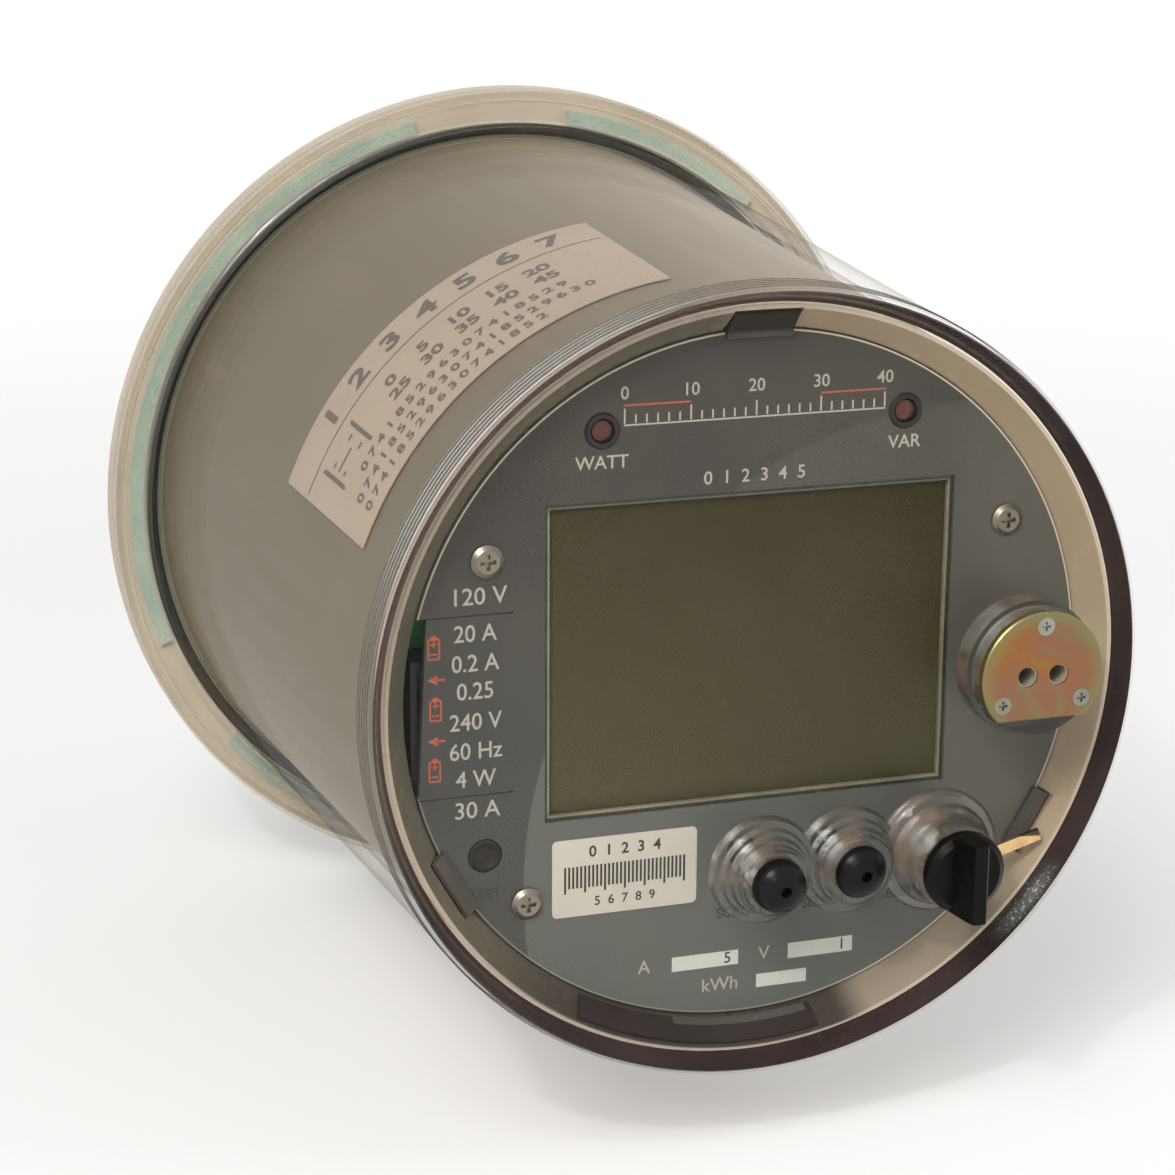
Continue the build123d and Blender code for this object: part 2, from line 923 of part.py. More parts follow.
def battery_holder():
    """Open tray that takes the battery, reached through the flap."""
    half_length = battery_length / 2 + 0.3 + holder_wall
    half_width = battery_radius + 0.3 + holder_wall
    left = battery_x - half_width
    right = battery_x + half_width
    low = battery_y - half_length
    high = battery_y + half_length
    tray = block(left, right, low, high, holder_bottom, holder_top)
    tray = tray & rod(0, 0, chassis_inner_radius + 1.5, holder_bottom, holder_top)
    hollow = battery_cylinder(0.3)
    shaft = block(
        battery_x - battery_radius - 0.3,
        battery_x + battery_radius + 0.3,
        battery_y - battery_length / 2 - 0.3,
        battery_y + battery_length / 2 + 0.3,
        battery_height,
        holder_top,
    )
    return tray - hollow - shaft


def battery_cylinder(clearance):
    """Cylinder lying along y at the battery's place."""
    body = Cylinder(battery_radius + clearance, battery_length + 2 * clearance)
    return Pos(battery_x, battery_y, battery_height) * Rot(90, 0, 0) * body


def battery():
    """Short round cell with a stepped positive end."""
    step = 1.2
    body = Cylinder(battery_radius, battery_length - step)
    body = fillet(body.edges().filter_by(GeomType.CIRCLE), 0.6)
    body = Pos(0, 0, -step / 2) * body
    body += Pos(0, 0, battery_length / 2 - step) * Cylinder(3.0, step, align=BOTTOM)
    return Pos(battery_x, battery_y, battery_height) * Rot(-90, 0, 0) * body


# --------------------------------------------------------- buttons on the face

def face_key(x):
    """Key under a plunger: cap through the plate, flange behind it, stem."""
    top = rod_end - key_gap
    flange_top = face_underside - key_gap
    return turned_at(
        x,
        button_y,
        (0, key_stem_end),
        (key_stem_radius, key_stem_end),
        (key_stem_radius, flange_top - key_flange_thickness),
        (key_flange_radius, flange_top - key_flange_thickness),
        (key_flange_radius, flange_top),
        (key_cap_radius, flange_top),
        (key_cap_radius, top - 0.4),
        (key_cap_radius - 0.4, top),
        (0, top),
    )


def test_button():
    """Dished test button, flush with the plate, on a stem to its switch."""
    switch_top = display_board_height + board_thickness + switch_height + switch_dome_height
    stem_end = switch_top + test_stroke + key_gap
    flange_top = face_underside - key_gap
    return turned_at(
        test_x,
        test_y,
        (0, stem_end),
        (key_stem_radius, stem_end),
        (key_stem_radius, flange_top - key_flange_thickness),
        (test_radius + 0.8, flange_top - key_flange_thickness),
        (test_radius + 0.8, flange_top),
        (test_radius, flange_top),
        (test_radius, face_height - 0.1),
        (test_radius - 0.5, face_height + 0.1),
        (test_radius * 0.5, face_height - 0.4),
        (0, face_height - 0.5),
    )


# ----------------------------------------------------------------- clear cover

def cover_radius(height):
    """Outer radius of the tapered cover at a height."""
    share = (height - cover_flange_top) / (window_top - cover_flange_top)
    return cover_foot_radius + share * (cover_front_radius - cover_foot_radius)


def ridge_outline():
    """Points of the fine ridges around the cover's front edge, rear one first."""
    points = []
    for index in range(ridge_count):
        low = ridge_first_height + index * ridge_pitch
        top = low + ridge_width
        middle = (low + top) / 2
        points.append((cover_radius(low), low))
        points.append((cover_radius(middle) + ridge_height, middle))
        points.append((cover_radius(top), top))
    return points


def cover_shell():
    """Turned body of the cover: rear flange, tapered wall and flat window."""
    recess_top = cover_low + cover_foot_recess
    bead_top = cover_flange_top + cover_bead_height
    inner_foot = cover_radius(cover_flange_top) - cover_wall
    inner_front = cover_radius(window_underside) - cover_wall
    return turned(
        (cover_recess_radius, cover_low),
        (flange_radius, cover_low),
        (flange_radius, bead_top),
        (cover_bead_radius, bead_top),
        (cover_bead_radius - 0.2, cover_flange_top),
        (cover_foot_radius + 0.8, cover_flange_top),
        (cover_radius(cover_flange_top + 1), cover_flange_top + 1),
        *ridge_outline(),
        (cover_front_radius, window_top - cover_corner),
        (cover_front_radius - 0.3 * cover_corner, window_top - 0.3 * cover_corner),
        (cover_front_radius - cover_corner, window_top),
        (0, window_top),
        (0, window_underside),
        (inner_front - 0.6, window_underside),
        (inner_front, window_underside - 0.6),
        (inner_foot, recess_top),
        (cover_recess_radius, recess_top),
    )


def rim_ring():
    """Thin conical ring moulded into the front corner of the cover."""
    return turned(
        (rim_inner_radius, rim_low),
        (rim_inner_radius + rim_spread, rim_low + rim_rise),
        (rim_inner_radius + rim_spread + rim_wall / 2, rim_low + rim_rise - 0.4),
        (rim_inner_radius + rim_wall, rim_low),
    )


def push_turret(x, top):
    """Stepped clear turret around a push button."""
    neck = plunger_radius + turret_wall
    outer = [(0, window_top)]
    level = window_top
    for radius, rise in turret_tiers:
        outer.append((radius, level))
        level = window_top + rise
        outer.append((radius - 0.4, level))
    outer.append((neck + 0.15, level))
    outer.append((neck, top))
    outer.append((0, top))
    return turned_at(x, button_y, *outer)


def reset_turret():
    """Rounded clear turret under the reset knob."""
    top = knob_low - 0.3
    return turned_at(
        reset_x,
        button_y,
        (0, window_top),
        (reset_pad_radius, window_top),
        (reset_pad_radius, window_top + 1.0),
        (reset_pad_radius - 0.6, window_top + 2.0),
        (reset_step_radius + 0.6, window_top + 2.8),
        (reset_step_radius, window_top + 4.6),
        (reset_neck_radius + 0.4, window_top + 5.4),
        (reset_neck_radius, top - 1.2),
        (reset_neck_radius - 0.5, top),
        (0, top),
    )


def port_turret():
    """Stepped clear boss that carries the optical port plate."""
    return turned_at(
        port_x,
        port_y,
        (0, window_top),
        (port_base_radius, window_top),
        (port_base_radius, port_base_top),
        (port_neck_radius + 0.3, port_base_top + 0.3),
        (port_neck_radius, port_neck_top),
        (0, port_neck_top),
    )


def port_screw_places():
    """Centres of the three screws of the port plate."""
    places = []
    for angle in port_screw_angles:
        turn = math.radians(angle)
        x = port_x + port_screw_circle * math.cos(turn)
        y = port_y + port_screw_circle * math.sin(turn)
        places.append((x, y))
    return places


def port_hole_places():
    """Centres of the two light holes of the optical port."""
    half = port_hole_spacing / 2
    return [(port_x - half, port_y), (port_x + half, port_y)]


def cover():
    """Clear cover with its bores and the moulded-in rim ring."""
    body = cover_shell()
    for x in (scroll_x, select_x):
        body -= rod(x, button_y, rod_radius + plunger_fit, window_underside, window_top)
    body -= rod(reset_x, button_y, shaft_radius + shaft_fit, window_underside, window_top)
    return body - rim_ring()


def button_turrets():
    """Clear moulding of three joined turrets, bonded to the window."""
    body = push_turret(scroll_x, turret_top)
    body += push_turret(select_x, select_turret_top)
    body += reset_turret()
    bore = plunger_radius + plunger_fit
    for x in (scroll_x, select_x):
        body -= rod(x, button_y, bore, turret_floor, turret_top + 1)
        body -= rod(x, button_y, rod_radius + plunger_fit, window_top, turret_floor)
    return body - rod(reset_x, button_y, shaft_radius + shaft_fit, window_top, knob_low)


def port_boss():
    """Clear boss of the optical port with its light holes and pilot holes."""
    body = port_turret()
    for x, y in port_hole_places():
        body -= rod(x, y, port_hole_radius, port_hole_floor, port_neck_top)
    low = port_neck_top + port_plate_thickness - port_screw_length
    for x, y in port_screw_places():
        body -= rod(x, y, port_screw_shank_radius, low, port_neck_top)
    return body


# ---------------------------------------------------------------- optical port

def port_plate():
    """Steel plate with one flat side, for a magnetic reading head."""
    top = port_neck_top + port_plate_thickness
    plate = rod(port_x, port_y, port_plate_radius, port_neck_top, top)
    cut = port_y - port_plate_flat
    wide = port_plate_radius + 1
    plate -= block(port_x - wide, port_x + wide, cut - wide, cut, port_neck_top, top)
    plate = chamfer(plate.faces().sort_by(Axis.Z)[-1].edges(), 0.25)
    for x, y in port_hole_places():
        plate -= rod(x, y, port_hole_radius, port_neck_top, top)
    for x, y in port_screw_places():
        plate -= rod(x, y, port_screw_shank_radius + 0.1, port_neck_top, top)
        plate -= turned_at(x, y, *port_screw_head(top, port_screw_clearance))
    return plate


def port_screw_head(top, clearance):
    """Outline of a countersunk head, or of its seat with a clearance."""
    seat = top - port_screw_head_height - clearance
    return [
        (0, seat),
        (port_screw_shank_radius + clearance, seat),
        (port_screw_head_radius + clearance, top - port_screw_rim),
        (port_screw_head_radius + clearance, top),
        (0, top),
    ]


def port_screws():
    """Three small countersunk screws, flush with the plate."""
    top = port_neck_top + port_plate_thickness
    pieces = []
    for x, y in port_screw_places():
        head = turned_at(x, y, *port_screw_head(top, 0))
        neck = top - port_screw_head_height
        shank = rod(x, y, port_screw_shank_radius, top - port_screw_length, neck)
        recess = cross_recess(x, y, port_screw_head_radius, top, port_screw_recess)
        pieces.append(head + shank - recess)
    return union(pieces)


def port_windows():
    """Two dark lenses at the bottom of the light holes."""
    top = port_hole_floor + port_lens_thickness
    pieces = [rod(x, y, port_hole_radius, port_hole_floor, top) for x, y in port_hole_places()]
    return union(pieces)


# -------------------------------------------------------------------- plungers

def plunger(x, drop):
    """Round-headed plunger with a rod through the cover and a stop collar."""
    shoulder = plunger_shoulder - drop
    tip = plunger_tip - drop
    skirt = plunger_skirt - drop * 0.6
    collar_top = window_underside - 0.3
    collar_low = collar_top - rod_collar_thickness
    dome = tip - shoulder
    outline = [
        (0, rod_end),
        (rod_radius, rod_end),
        (rod_radius, collar_low),
        (rod_collar_radius, collar_low),
        (rod_collar_radius, collar_top),
        (rod_radius, collar_top),
        (rod_radius, skirt),
        (plunger_radius, skirt),
        (plunger_radius, shoulder),
    ]
    for step in range(1, 7):
        turn = math.radians(90 * step / 7)
        outline.append((plunger_radius * math.cos(turn), shoulder + dome * math.sin(turn)))
    outline.append((0, tip))
    body = turned_at(x, button_y, *outline)
    return body - rod(x, button_y, plunger_eye_radius, tip - plunger_eye_depth, tip + 1)


def plunger_spring(x, drop):
    """Coil spring between the turret's floor and the plunger's head."""
    skirt = plunger_skirt - drop * 0.6
    low = turret_floor + spring_wire
    high = skirt - spring_wire
    path = Helix(pitch=(high - low) / spring_turns, height=high - low, radius=spring_radius)
    start = Plane(origin=path @ 0, z_dir=path % 0)
    wire = sweep(start * Circle(spring_wire), path=path, is_frenet=True)
    return Pos(x, button_y, low) * wire


# ------------------------------------------------------------------ reset knob

def reset_knob():
    """Round knob with a tapered finger wing across it."""
    disc = turned_at(
        reset_x,
        button_y,
        (0, knob_low),
        (knob_radius - 0.3, knob_low),
        (knob_radius, knob_low + 0.4),
        (knob_radius, knob_disc_top - 0.9),
        (knob_radius - 1.2, knob_disc_top),
        (0, knob_disc_top),
    )
    section = Polyline(
        (-wing_root / 2, 0, knob_disc_top - 0.5),
        (wing_root / 2, 0, knob_disc_top - 0.5),
        (wing_thickness / 2, 0, knob_top - 0.3),
        (wing_thickness / 2 - 0.3, 0, knob_top),
        (0.3 - wing_thickness / 2, 0, knob_top),
        (-wing_thickness / 2, 0, knob_top - 0.3),
        close=True,
    )
    wing = extrude(make_face(section), wing_length / 2, dir=(0, 1, 0), both=True)
    wing = wing & rod(0, 0, knob_radius, knob_disc_top - 0.5, knob_top)
    knob = disc + Pos(reset_x, button_y, 0) * wing
    return knob - rod(reset_x, button_y, shaft_radius, knob_low, knob_disc_top - 1.0)


def reset_shaft():
    """Shaft from the knob through the cover, with a collar and a riveted end."""
    collar_top = window_underside - 0.25
    lever_top = lever_low + lever_thickness
    return turned_at(
        reset_x,
        button_y,
        (0, shaft_low),
        (shaft_radius - 0.2, shaft_low),
        (shaft_radius - 0.2, lever_low),
        (shaft_radius - 0.8, lever_low),
        (shaft_radius - 0.8, lever_top),
        (shaft_collar_radius, lever_top),
        (shaft_collar_radius, collar_top),
        (shaft_radius, collar_top),
        (shaft_radius, knob_disc_top - 1.0),
        (0, knob_disc_top - 1.0),
    )


def reset_lever():
    """Bent brass strip riveted to the shaft, sweeping behind the window."""
    half = lever_width / 2
    high = lever_low + lever_thickness
    hub = rod(0, 0, shaft_radius + 0.9, lever_low, high)
    joint = rod(lever_bend_x, lever_bend_y, half, lever_low, high)
    arm = hub + joint
    arm += lever_length(0, 0, lever_bend_x, lever_bend_y, half, high)
    arm += lever_length(lever_bend_x, lever_bend_y, lever_tip_x, lever_tip_y, half, high)
    arm -= rod(0, 0, shaft_radius - 0.8, lever_low, high)
    return Pos(reset_x, button_y, 0) * arm


def lever_length(x0, y0, x1, y1, half, high):
    """Straight length of the lever between two points."""
    length = math.hypot(x1 - x0, y1 - y0)
    turn = math.degrees(math.atan2(y1 - y0, x1 - x0))
    return Pos(x0, y0, 0) * Rot(0, 0, turn) * block(0, length, -half, half, lever_low, high)


# ---------------------------------------------------------------------- export

measuring_top = measuring_board_height + board_thickness
power_top = power_board_height + board_thickness

pieces = {
    "base_plate": base_plate(),
    "line_blades": blade_row_group(blade_row),
    "load_blades": blade_row_group(-blade_row),
    "potential_blades": potential_blades(),
    "potential_leads": potential_leads(),
    "busbar_left": busbar(-blade_column),
    "busbar_centre": busbar(0),
    "busbar_right": busbar(blade_column),
    "current_transformer_left": current_transformer(-blade_column),
    "current_transformer_centre": current_transformer(0),
    "current_transformer_right": current_transformer(blade_column),
    "gasket_left": gasket(gasket_left_start_angle, gasket_left_end_angle),
    "gasket_upper_right": gasket(gasket_upper_right_start_angle, gasket_upper_right_end_angle),
    "gasket_lower_left": gasket(gasket_lower_left_start_angle, gasket_lower_left_end_angle),
    "gasket_lower_right": gasket(gasket_lower_right_start_angle, gasket_lower_right_end_angle),
    "inner_housing": inner_housing(),
    "housing_label": housing_label(),
    "bezel_ring": bezel_ring(),
    "lower_shield": lower_shield(),
    "shield_strip": shield_strip(),
    "chassis_frame": chassis_frame(),
    "lower_posts": board_posts(base_deck_height + post_pad_height, power_board_height),
    "power_board": round_board(power_board_height),
    "supply_transformer": supply_transformer(),
    "supply_capacitors": supply_capacitors(),
    "middle_posts": board_posts(power_top, measuring_board_height),
    "measuring_board": round_board(measuring_board_height),
    "processor_chip": processor_chip(),
    "upper_posts": board_posts(measuring_top, display_board_height),
    "ribbon_cable": ribbon_cable(),
    "display_board": display_board(),
    "key_switches": key_switches(),
    "lcd_backlight": lcd_backlight(),
    "lcd_glass": lcd_glass(),
    "lcd_frame": lcd_frame(),
    "faceplate": faceplate(),
    "faceplate_screws": faceplate_screws(),
    "led_collars": led_collars(),
    "led_lenses": led_lenses(),
    "serial_label": serial_label(),
    "battery_holder": battery_holder(),
    "battery": battery(),
    "battery_flap": battery_flap(),
    "test_button": test_button(),
    "scroll_key": face_key(scroll_x),
    "select_key": face_key(select_x),
    "cover_seal_ring": cover_seal_ring(),
    "cover": cover(),
    "cover_turrets": union([button_turrets(), port_boss()]),
    "rim_ring": rim_ring(),
    "port_plate": port_plate(),
    "port_screws": port_screws(),
    "port_windows": port_windows(),
    "scroll_plunger": plunger(scroll_x, 0),
    "scroll_spring": plunger_spring(scroll_x, 0),
    "select_plunger": plunger(select_x, select_drop),
    "select_spring": plunger_spring(select_x, select_drop),
    "reset_knob": reset_knob(),
    "reset_shaft": reset_shaft(),
    "reset_lever": reset_lever(),
}

os.makedirs("parts", exist_ok=True)
for name, piece in pieces.items():
    export_step(stand_up(piece), f"parts/{name}.step")
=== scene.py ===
"""Round socket meter with an electronic display: looks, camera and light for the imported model."""
import math
from functools import cached_property

import bmesh
import bpy
from mathutils import Matrix, Vector


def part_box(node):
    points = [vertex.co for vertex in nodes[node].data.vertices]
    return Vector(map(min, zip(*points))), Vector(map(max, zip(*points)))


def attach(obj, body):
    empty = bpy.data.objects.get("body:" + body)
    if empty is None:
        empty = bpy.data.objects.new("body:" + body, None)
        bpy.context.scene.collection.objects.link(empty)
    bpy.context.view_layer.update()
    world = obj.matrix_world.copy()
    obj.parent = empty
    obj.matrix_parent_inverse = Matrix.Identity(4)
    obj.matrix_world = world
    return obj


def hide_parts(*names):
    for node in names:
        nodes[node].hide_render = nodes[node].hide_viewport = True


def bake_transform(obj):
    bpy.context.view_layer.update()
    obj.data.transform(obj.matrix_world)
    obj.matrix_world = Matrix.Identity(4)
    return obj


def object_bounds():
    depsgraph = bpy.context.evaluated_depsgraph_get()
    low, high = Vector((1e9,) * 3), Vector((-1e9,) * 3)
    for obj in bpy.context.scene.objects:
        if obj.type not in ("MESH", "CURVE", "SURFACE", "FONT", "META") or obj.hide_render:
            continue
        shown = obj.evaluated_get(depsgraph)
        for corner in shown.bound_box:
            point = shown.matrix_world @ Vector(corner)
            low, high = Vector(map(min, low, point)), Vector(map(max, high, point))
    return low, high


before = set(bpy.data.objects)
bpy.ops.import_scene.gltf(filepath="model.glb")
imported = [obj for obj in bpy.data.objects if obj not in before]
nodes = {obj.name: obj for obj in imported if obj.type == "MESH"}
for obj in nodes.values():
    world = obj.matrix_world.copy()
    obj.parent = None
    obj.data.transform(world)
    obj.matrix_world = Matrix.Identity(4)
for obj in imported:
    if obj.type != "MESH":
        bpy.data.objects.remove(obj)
cad_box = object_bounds()
scene = bpy.context.scene

MM = 0.001
NOISE_TURN = (0.61, 0.37, 0.93)    # radians; keeps noise from lining up with a face
PRINT_EDGE = 62.6 * MM    # radius where the face's print stops
GLINT_SPOT = (53.4 * MM, -46.5 * MM)    # where the painted glints sit on the rim and the cover's corner, as (x, z)
REFLECTION = (0.96, 0.96, 0.95, 1)

ring_low, ring_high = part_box("rim_ring")
ring_outer = ring_high.x
corner_rear = ring_low.y + 0.4 * MM    # where the cover's rounded front corner ends


def linear(colour):
    """Linear colour with alpha. Three numbers are 8-bit display values, four are linear."""
    if len(colour) == 4:
        return colour
    shares = [value / 255 for value in colour]
    return (*(c / 12.92 if c <= 0.04045 else ((c + 0.055) / 1.055) ** 2.4 for c in shares), 1.0)


# ------------------------------------------------------------ shader builder

class Shader:
    """A node tree, by default a new material's, and short calls that add nodes to it."""

    def __init__(self, name=None, tree=None, output="OutputMaterial"):
        self.material = None
        if tree is None:
            self.material = bpy.data.materials.new(name)
            self.material.use_nodes = True
            tree = self.material.node_tree
        self.tree = tree
        tree.nodes.clear()
        self.output = self.add(output)

    @cached_property
    def place(self):
        """Position in the meter's own frame, in metres."""
        return self.add("TexCoord").outputs["Object"]

    @cached_property
    def askew(self):
        """The same position turned by odd angles."""
        return self.stretched(1.0, 1.0, 1.0)

    def add(self, kind, inputs=(), **settings):
        """New node, with values or links for its inputs by name or number."""
        node = self.tree.nodes.new("ShaderNode" + kind)
        for name, value in settings.items():
            setattr(node, name, value)
        for key, value in dict(inputs).items():
            self.put(node.inputs[key], value)
        return node

    def put(self, socket, value):
        if isinstance(value, bpy.types.NodeSocket):
            self.tree.links.new(value, socket)
        elif value is not None:
            is_colour = socket.type == "RGBA"
            socket.default_value = linear(value) if is_colour else value

    def xyz(self, vector=None):
        return self.add("SeparateXYZ", {0: vector or self.place}).outputs[:]

    def math(self, operation, *values):
        return self.add("Math", enumerate(values), operation=operation).outputs[0]

    def times(self, product, *others):
        for other in others:
            product = self.math("MULTIPLY", product, other)
        return product

    def weighed(self, a, a_weight, b, b_weight):
        """Weighted sum of two values."""
        return self.math("ADD", self.times(a, a_weight), self.times(b, b_weight))

    def apart(self, a, b):
        """Distance between two values."""
        return self.math("ABSOLUTE", self.math("SUBTRACT", a, b))

    def length(self, a, b):
        return self.math("SQRT", self.math("ADD", self.times(a, a), self.times(b, b)))

    def radius(self, centre_x=0.0, centre_z=0.0):
        """Distance from an axis along Y."""
        x, _, z = self.xyz()
        return self.length(self.math("SUBTRACT", x, centre_x), self.math("SUBTRACT", z, centre_z))

    def beyond(self, box, margin=0.0):
        """How far outside a box's front outline, drawn in by margin; negative inside."""
        low, high = box
        x, _, z = self.xyz()
        across = self.math("SUBTRACT", self.math("ABSOLUTE", x), (high.x - low.x) / 2 - margin)
        up = self.math("SUBTRACT", self.apart(z, (low.z + high.z) / 2),
                       (high.z - low.z) / 2 - margin)
        return self.math("MAXIMUM", across, up)

    def stretched(self, x, y, z):
        return self.add("Mapping", {"Vector": self.place, "Scale": (x, y, z),
                                    "Rotation": NOISE_TURN}).outputs[0]

    def noise(self, scale, detail=4.0, roughness=0.6, stretch=None, distortion=0.0):
        vector = self.stretched(*stretch) if stretch else self.askew
        return self.add("TexNoise", {"Vector": vector, "Scale": scale, "Detail": detail,
                                     "Roughness": roughness,
                                     "Distortion": distortion}).outputs[0]

    def cells(self, scale, feature="F1"):
        return self.add("TexVoronoi", {"Vector": self.askew, "Scale": scale},
                        feature=feature).outputs["Distance"]

    def ramp(self, factor, *stops, ease="LINEAR"):
        """Colour for a factor, from (position, colour) stops."""
        node = self.add("ValToRGB", {0: factor})
        node.color_ramp.interpolation = ease
        elements = node.color_ramp.elements
        while len(elements) < len(stops):
            elements.new(0.5)
        for element, (position, colour) in zip(elements, stops):
            element.position = position
            element.color = linear(colour)
        return node.outputs[0]

    def span(self, value, low, high, to_low=0.0, to_high=1.0, smooth=True):
        """value from low..high to to_low..to_high, held at the ends."""
        ease = "SMOOTHSTEP" if smooth else "LINEAR"
        return self.add("MapRange", enumerate((value, low, high, to_low, to_high)),
                        interpolation_type=ease).outputs[0]

    def line(self, value, centre, half, soft, strength=1.0):
        """strength within half of the centre, gone at soft."""
        return self.span(self.apart(value, centre), half, soft, strength, 0.0)

    def mix(self, factor, a, b):
        return self.add("Mix", {0: factor, 6: a, 7: b}, data_type="RGBA").outputs[2]

    def fade(self, value, a, b, low=0.3, high=0.7):
        """Colour a to colour b as value goes from low to high."""
        return self.mix(self.span(value, low, high), a, b)

    def over(self, colour, value, low, high, strength, top):
        """colour with top laid over it at strength where value is above high."""
        return self.mix(self.span(value, low, high, 0.0, strength), colour, top)

    def bump(self, height, strength, distance, normal=None):
        return self.add("Bump", {"Strength": strength, "Distance": distance,
                                 "Height": height, "Normal": normal}).outputs[0]

    def principled(self, **inputs):
        named = {name.replace("_", " "): value for name, value in inputs.items()}
        return self.add("BsdfPrincipled", named).outputs[0]

    def clear(self, share, tint, roughness, normal):
        """Thin clear plastic: tinted light straight through, and a share of reflection."""
        see = self.add("BsdfTransparent", {"Color": tint})
        shine = self.add("BsdfGlossy", {"Color": REFLECTION, "Roughness": roughness,
                                        "Normal": normal})
        return self.shader_mix(share, see.outputs[0], shine.outputs[0])

    def plain_light(self, kind, colour, strength):
        """Emission or Background of one colour."""
        return self.add(kind, {"Color": colour, "Strength": strength}).outputs[0]

    def seen_directly(self):
        """1 for rays from the camera, from a mirror or through glass, else 0."""
        path = self.add("LightPath").outputs
        direct = self.math("MAXIMUM", path["Is Camera Ray"], path["Is Glossy Ray"])
        return self.math("MAXIMUM", direct, path["Is Transmission Ray"])

    def shader_mix(self, factor, a, b):
        return self.add("MixShader", enumerate((factor, a, b))).outputs[0]

    def done(self, surface):
        self.put(self.output.inputs["Surface"], surface)
        return self.material

    def finish(self, colour, rough, normal, shine=0.5, **more):
        """Ends the material with one principled surface."""
        return self.done(self.principled(Base_Color=colour, Roughness=rough, Normal=normal,
                                         Specular_IOR_Level=shine, **more))


# ------------------------------------------------------------- material kinds

def moulded(name, main, shade, roughness=0.42, grain=0.12, grain_size=1600.0, coat=0.0, shine=0.5):
    """Moulded plastic: slow mottling, fine grain and small wear specks."""
    s = Shader(name)
    slow = s.noise(26.0)
    fine = s.noise(grain_size, 2.0, 0.6)
    specks = s.noise(620.0, 3.0, 0.7)
    colour = s.fade(slow, main, shade, 0.3, 0.72)
    colour = s.over(colour, specks, 0.66, 0.76, 0.22, shade)
    rough = s.span(s.math("ADD", slow, s.times(fine, 0.5)), 0.4, 1.0,
                   roughness - 0.07, roughness + 0.09)
    normal = s.bump(slow, 0.05, 0.0006, s.bump(fine, grain, 0.00012))
    return s.finish(colour, rough, normal, shine, Coat_Weight=coat, Coat_Roughness=0.12)


def plated(name, main, shade, roughness=0.3, streaks=(1.0, 12.0, 1.0)):
    """Plated metal: directional polishing streaks, dull patches and small pits."""
    s = Shader(name)
    brushed = s.noise(420.0, 3.0, 0.65, stretch=streaks)
    dull = s.noise(70.0)
    colour = s.fade(dull, main, shade, 0.35)
    colour = s.mix(s.span(s.cells(900.0), 0.05, 0.16, 0.35, 0.0), colour, shade)
    rough = s.span(s.math("ADD", brushed, dull), 0.6, 1.4, roughness - 0.1, roughness + 0.16)
    return s.finish(colour, rough, s.bump(brushed, 0.08, 0.0001), Metallic=1.0)


def foam(name, main, shade):
    """Closed-cell foam gasket with small pores and a dusty face."""
    s = Shader(name)
    pores = s.cells(1500.0, feature="SMOOTH_F1")
    slow = s.noise(60.0, 3.0, 0.6)
    colour = s.fade(slow, main, shade)
    colour = s.mix(s.span(pores, 0.1, 0.55, 0.3, 0.0), colour, shade)
    return s.finish(colour, s.span(slow, 0.3, 0.7, 0.75, 0.92), s.bump(pores, 0.5, 0.0003),
                    Sheen_Weight=0.15, Sheen_Roughness=0.5)


def rubber(name, main, shade):
    """Moulded rubber with a faint bloom and a few lint specks."""
    s = Shader(name)
    bloom = s.noise(90.0, 4.0, 0.65)
    lint = s.noise(1400.0, 2.0, 0.5)
    colour = s.fade(bloom, main, shade, 0.4, 0.75)
    colour = s.over(colour, lint, 0.72, 0.8, 0.4, (120, 116, 106))
    return s.finish(colour, s.span(bloom, 0.3, 0.75, 0.38, 0.58), s.bump(lint, 0.12, 0.00008),
                    0.15)


def circuit(name, mask, copper):
    """Solder-masked board: faint tracks, round pads, and painted light on it under the flap's gap.
    """
    s = Shader(name)
    x, _, z = s.xyz()
    weave = s.noise(900.0, 2.0, 0.5)
    flat = s.add("CombineXYZ", {0: s.times(x, 160.0), 1: s.times(z, 160.0)}).outputs[0]
    lanes = s.add("TexBrick", {
        "Vector": flat, "Color1": (0, 0, 0, 1), "Color2": (0.3, 0.3, 0.3, 1),
        "Mortar": (1, 1, 1, 1), "Scale": 1.0, "Mortar Size": 0.04}).outputs["Color"]
    colour = s.mix(lanes, mask, s.mix(0.35, mask, copper))
    colour = s.mix(s.span(s.cells(330.0), 0.16, 0.2, 1.0, 0.0), colour, copper)
    colour = s.over(colour, weave, 0.3, 0.7, 0.2, (10, 40, 22))
    # painted light: the board is coloured brighter where it shows through the gap beside the flap
    painted_gap_light = s.span(s.radius(-58.0 * MM, 13.0 * MM), 5.0 * MM, 9.0 * MM, 0.9, 0.0)
    colour = s.mix(painted_gap_light, colour, (70, 214, 104))
    return s.finish(colour, s.span(weave, 0.3, 0.7, 0.24, 0.38), s.bump(lanes, 0.25, 0.00006))


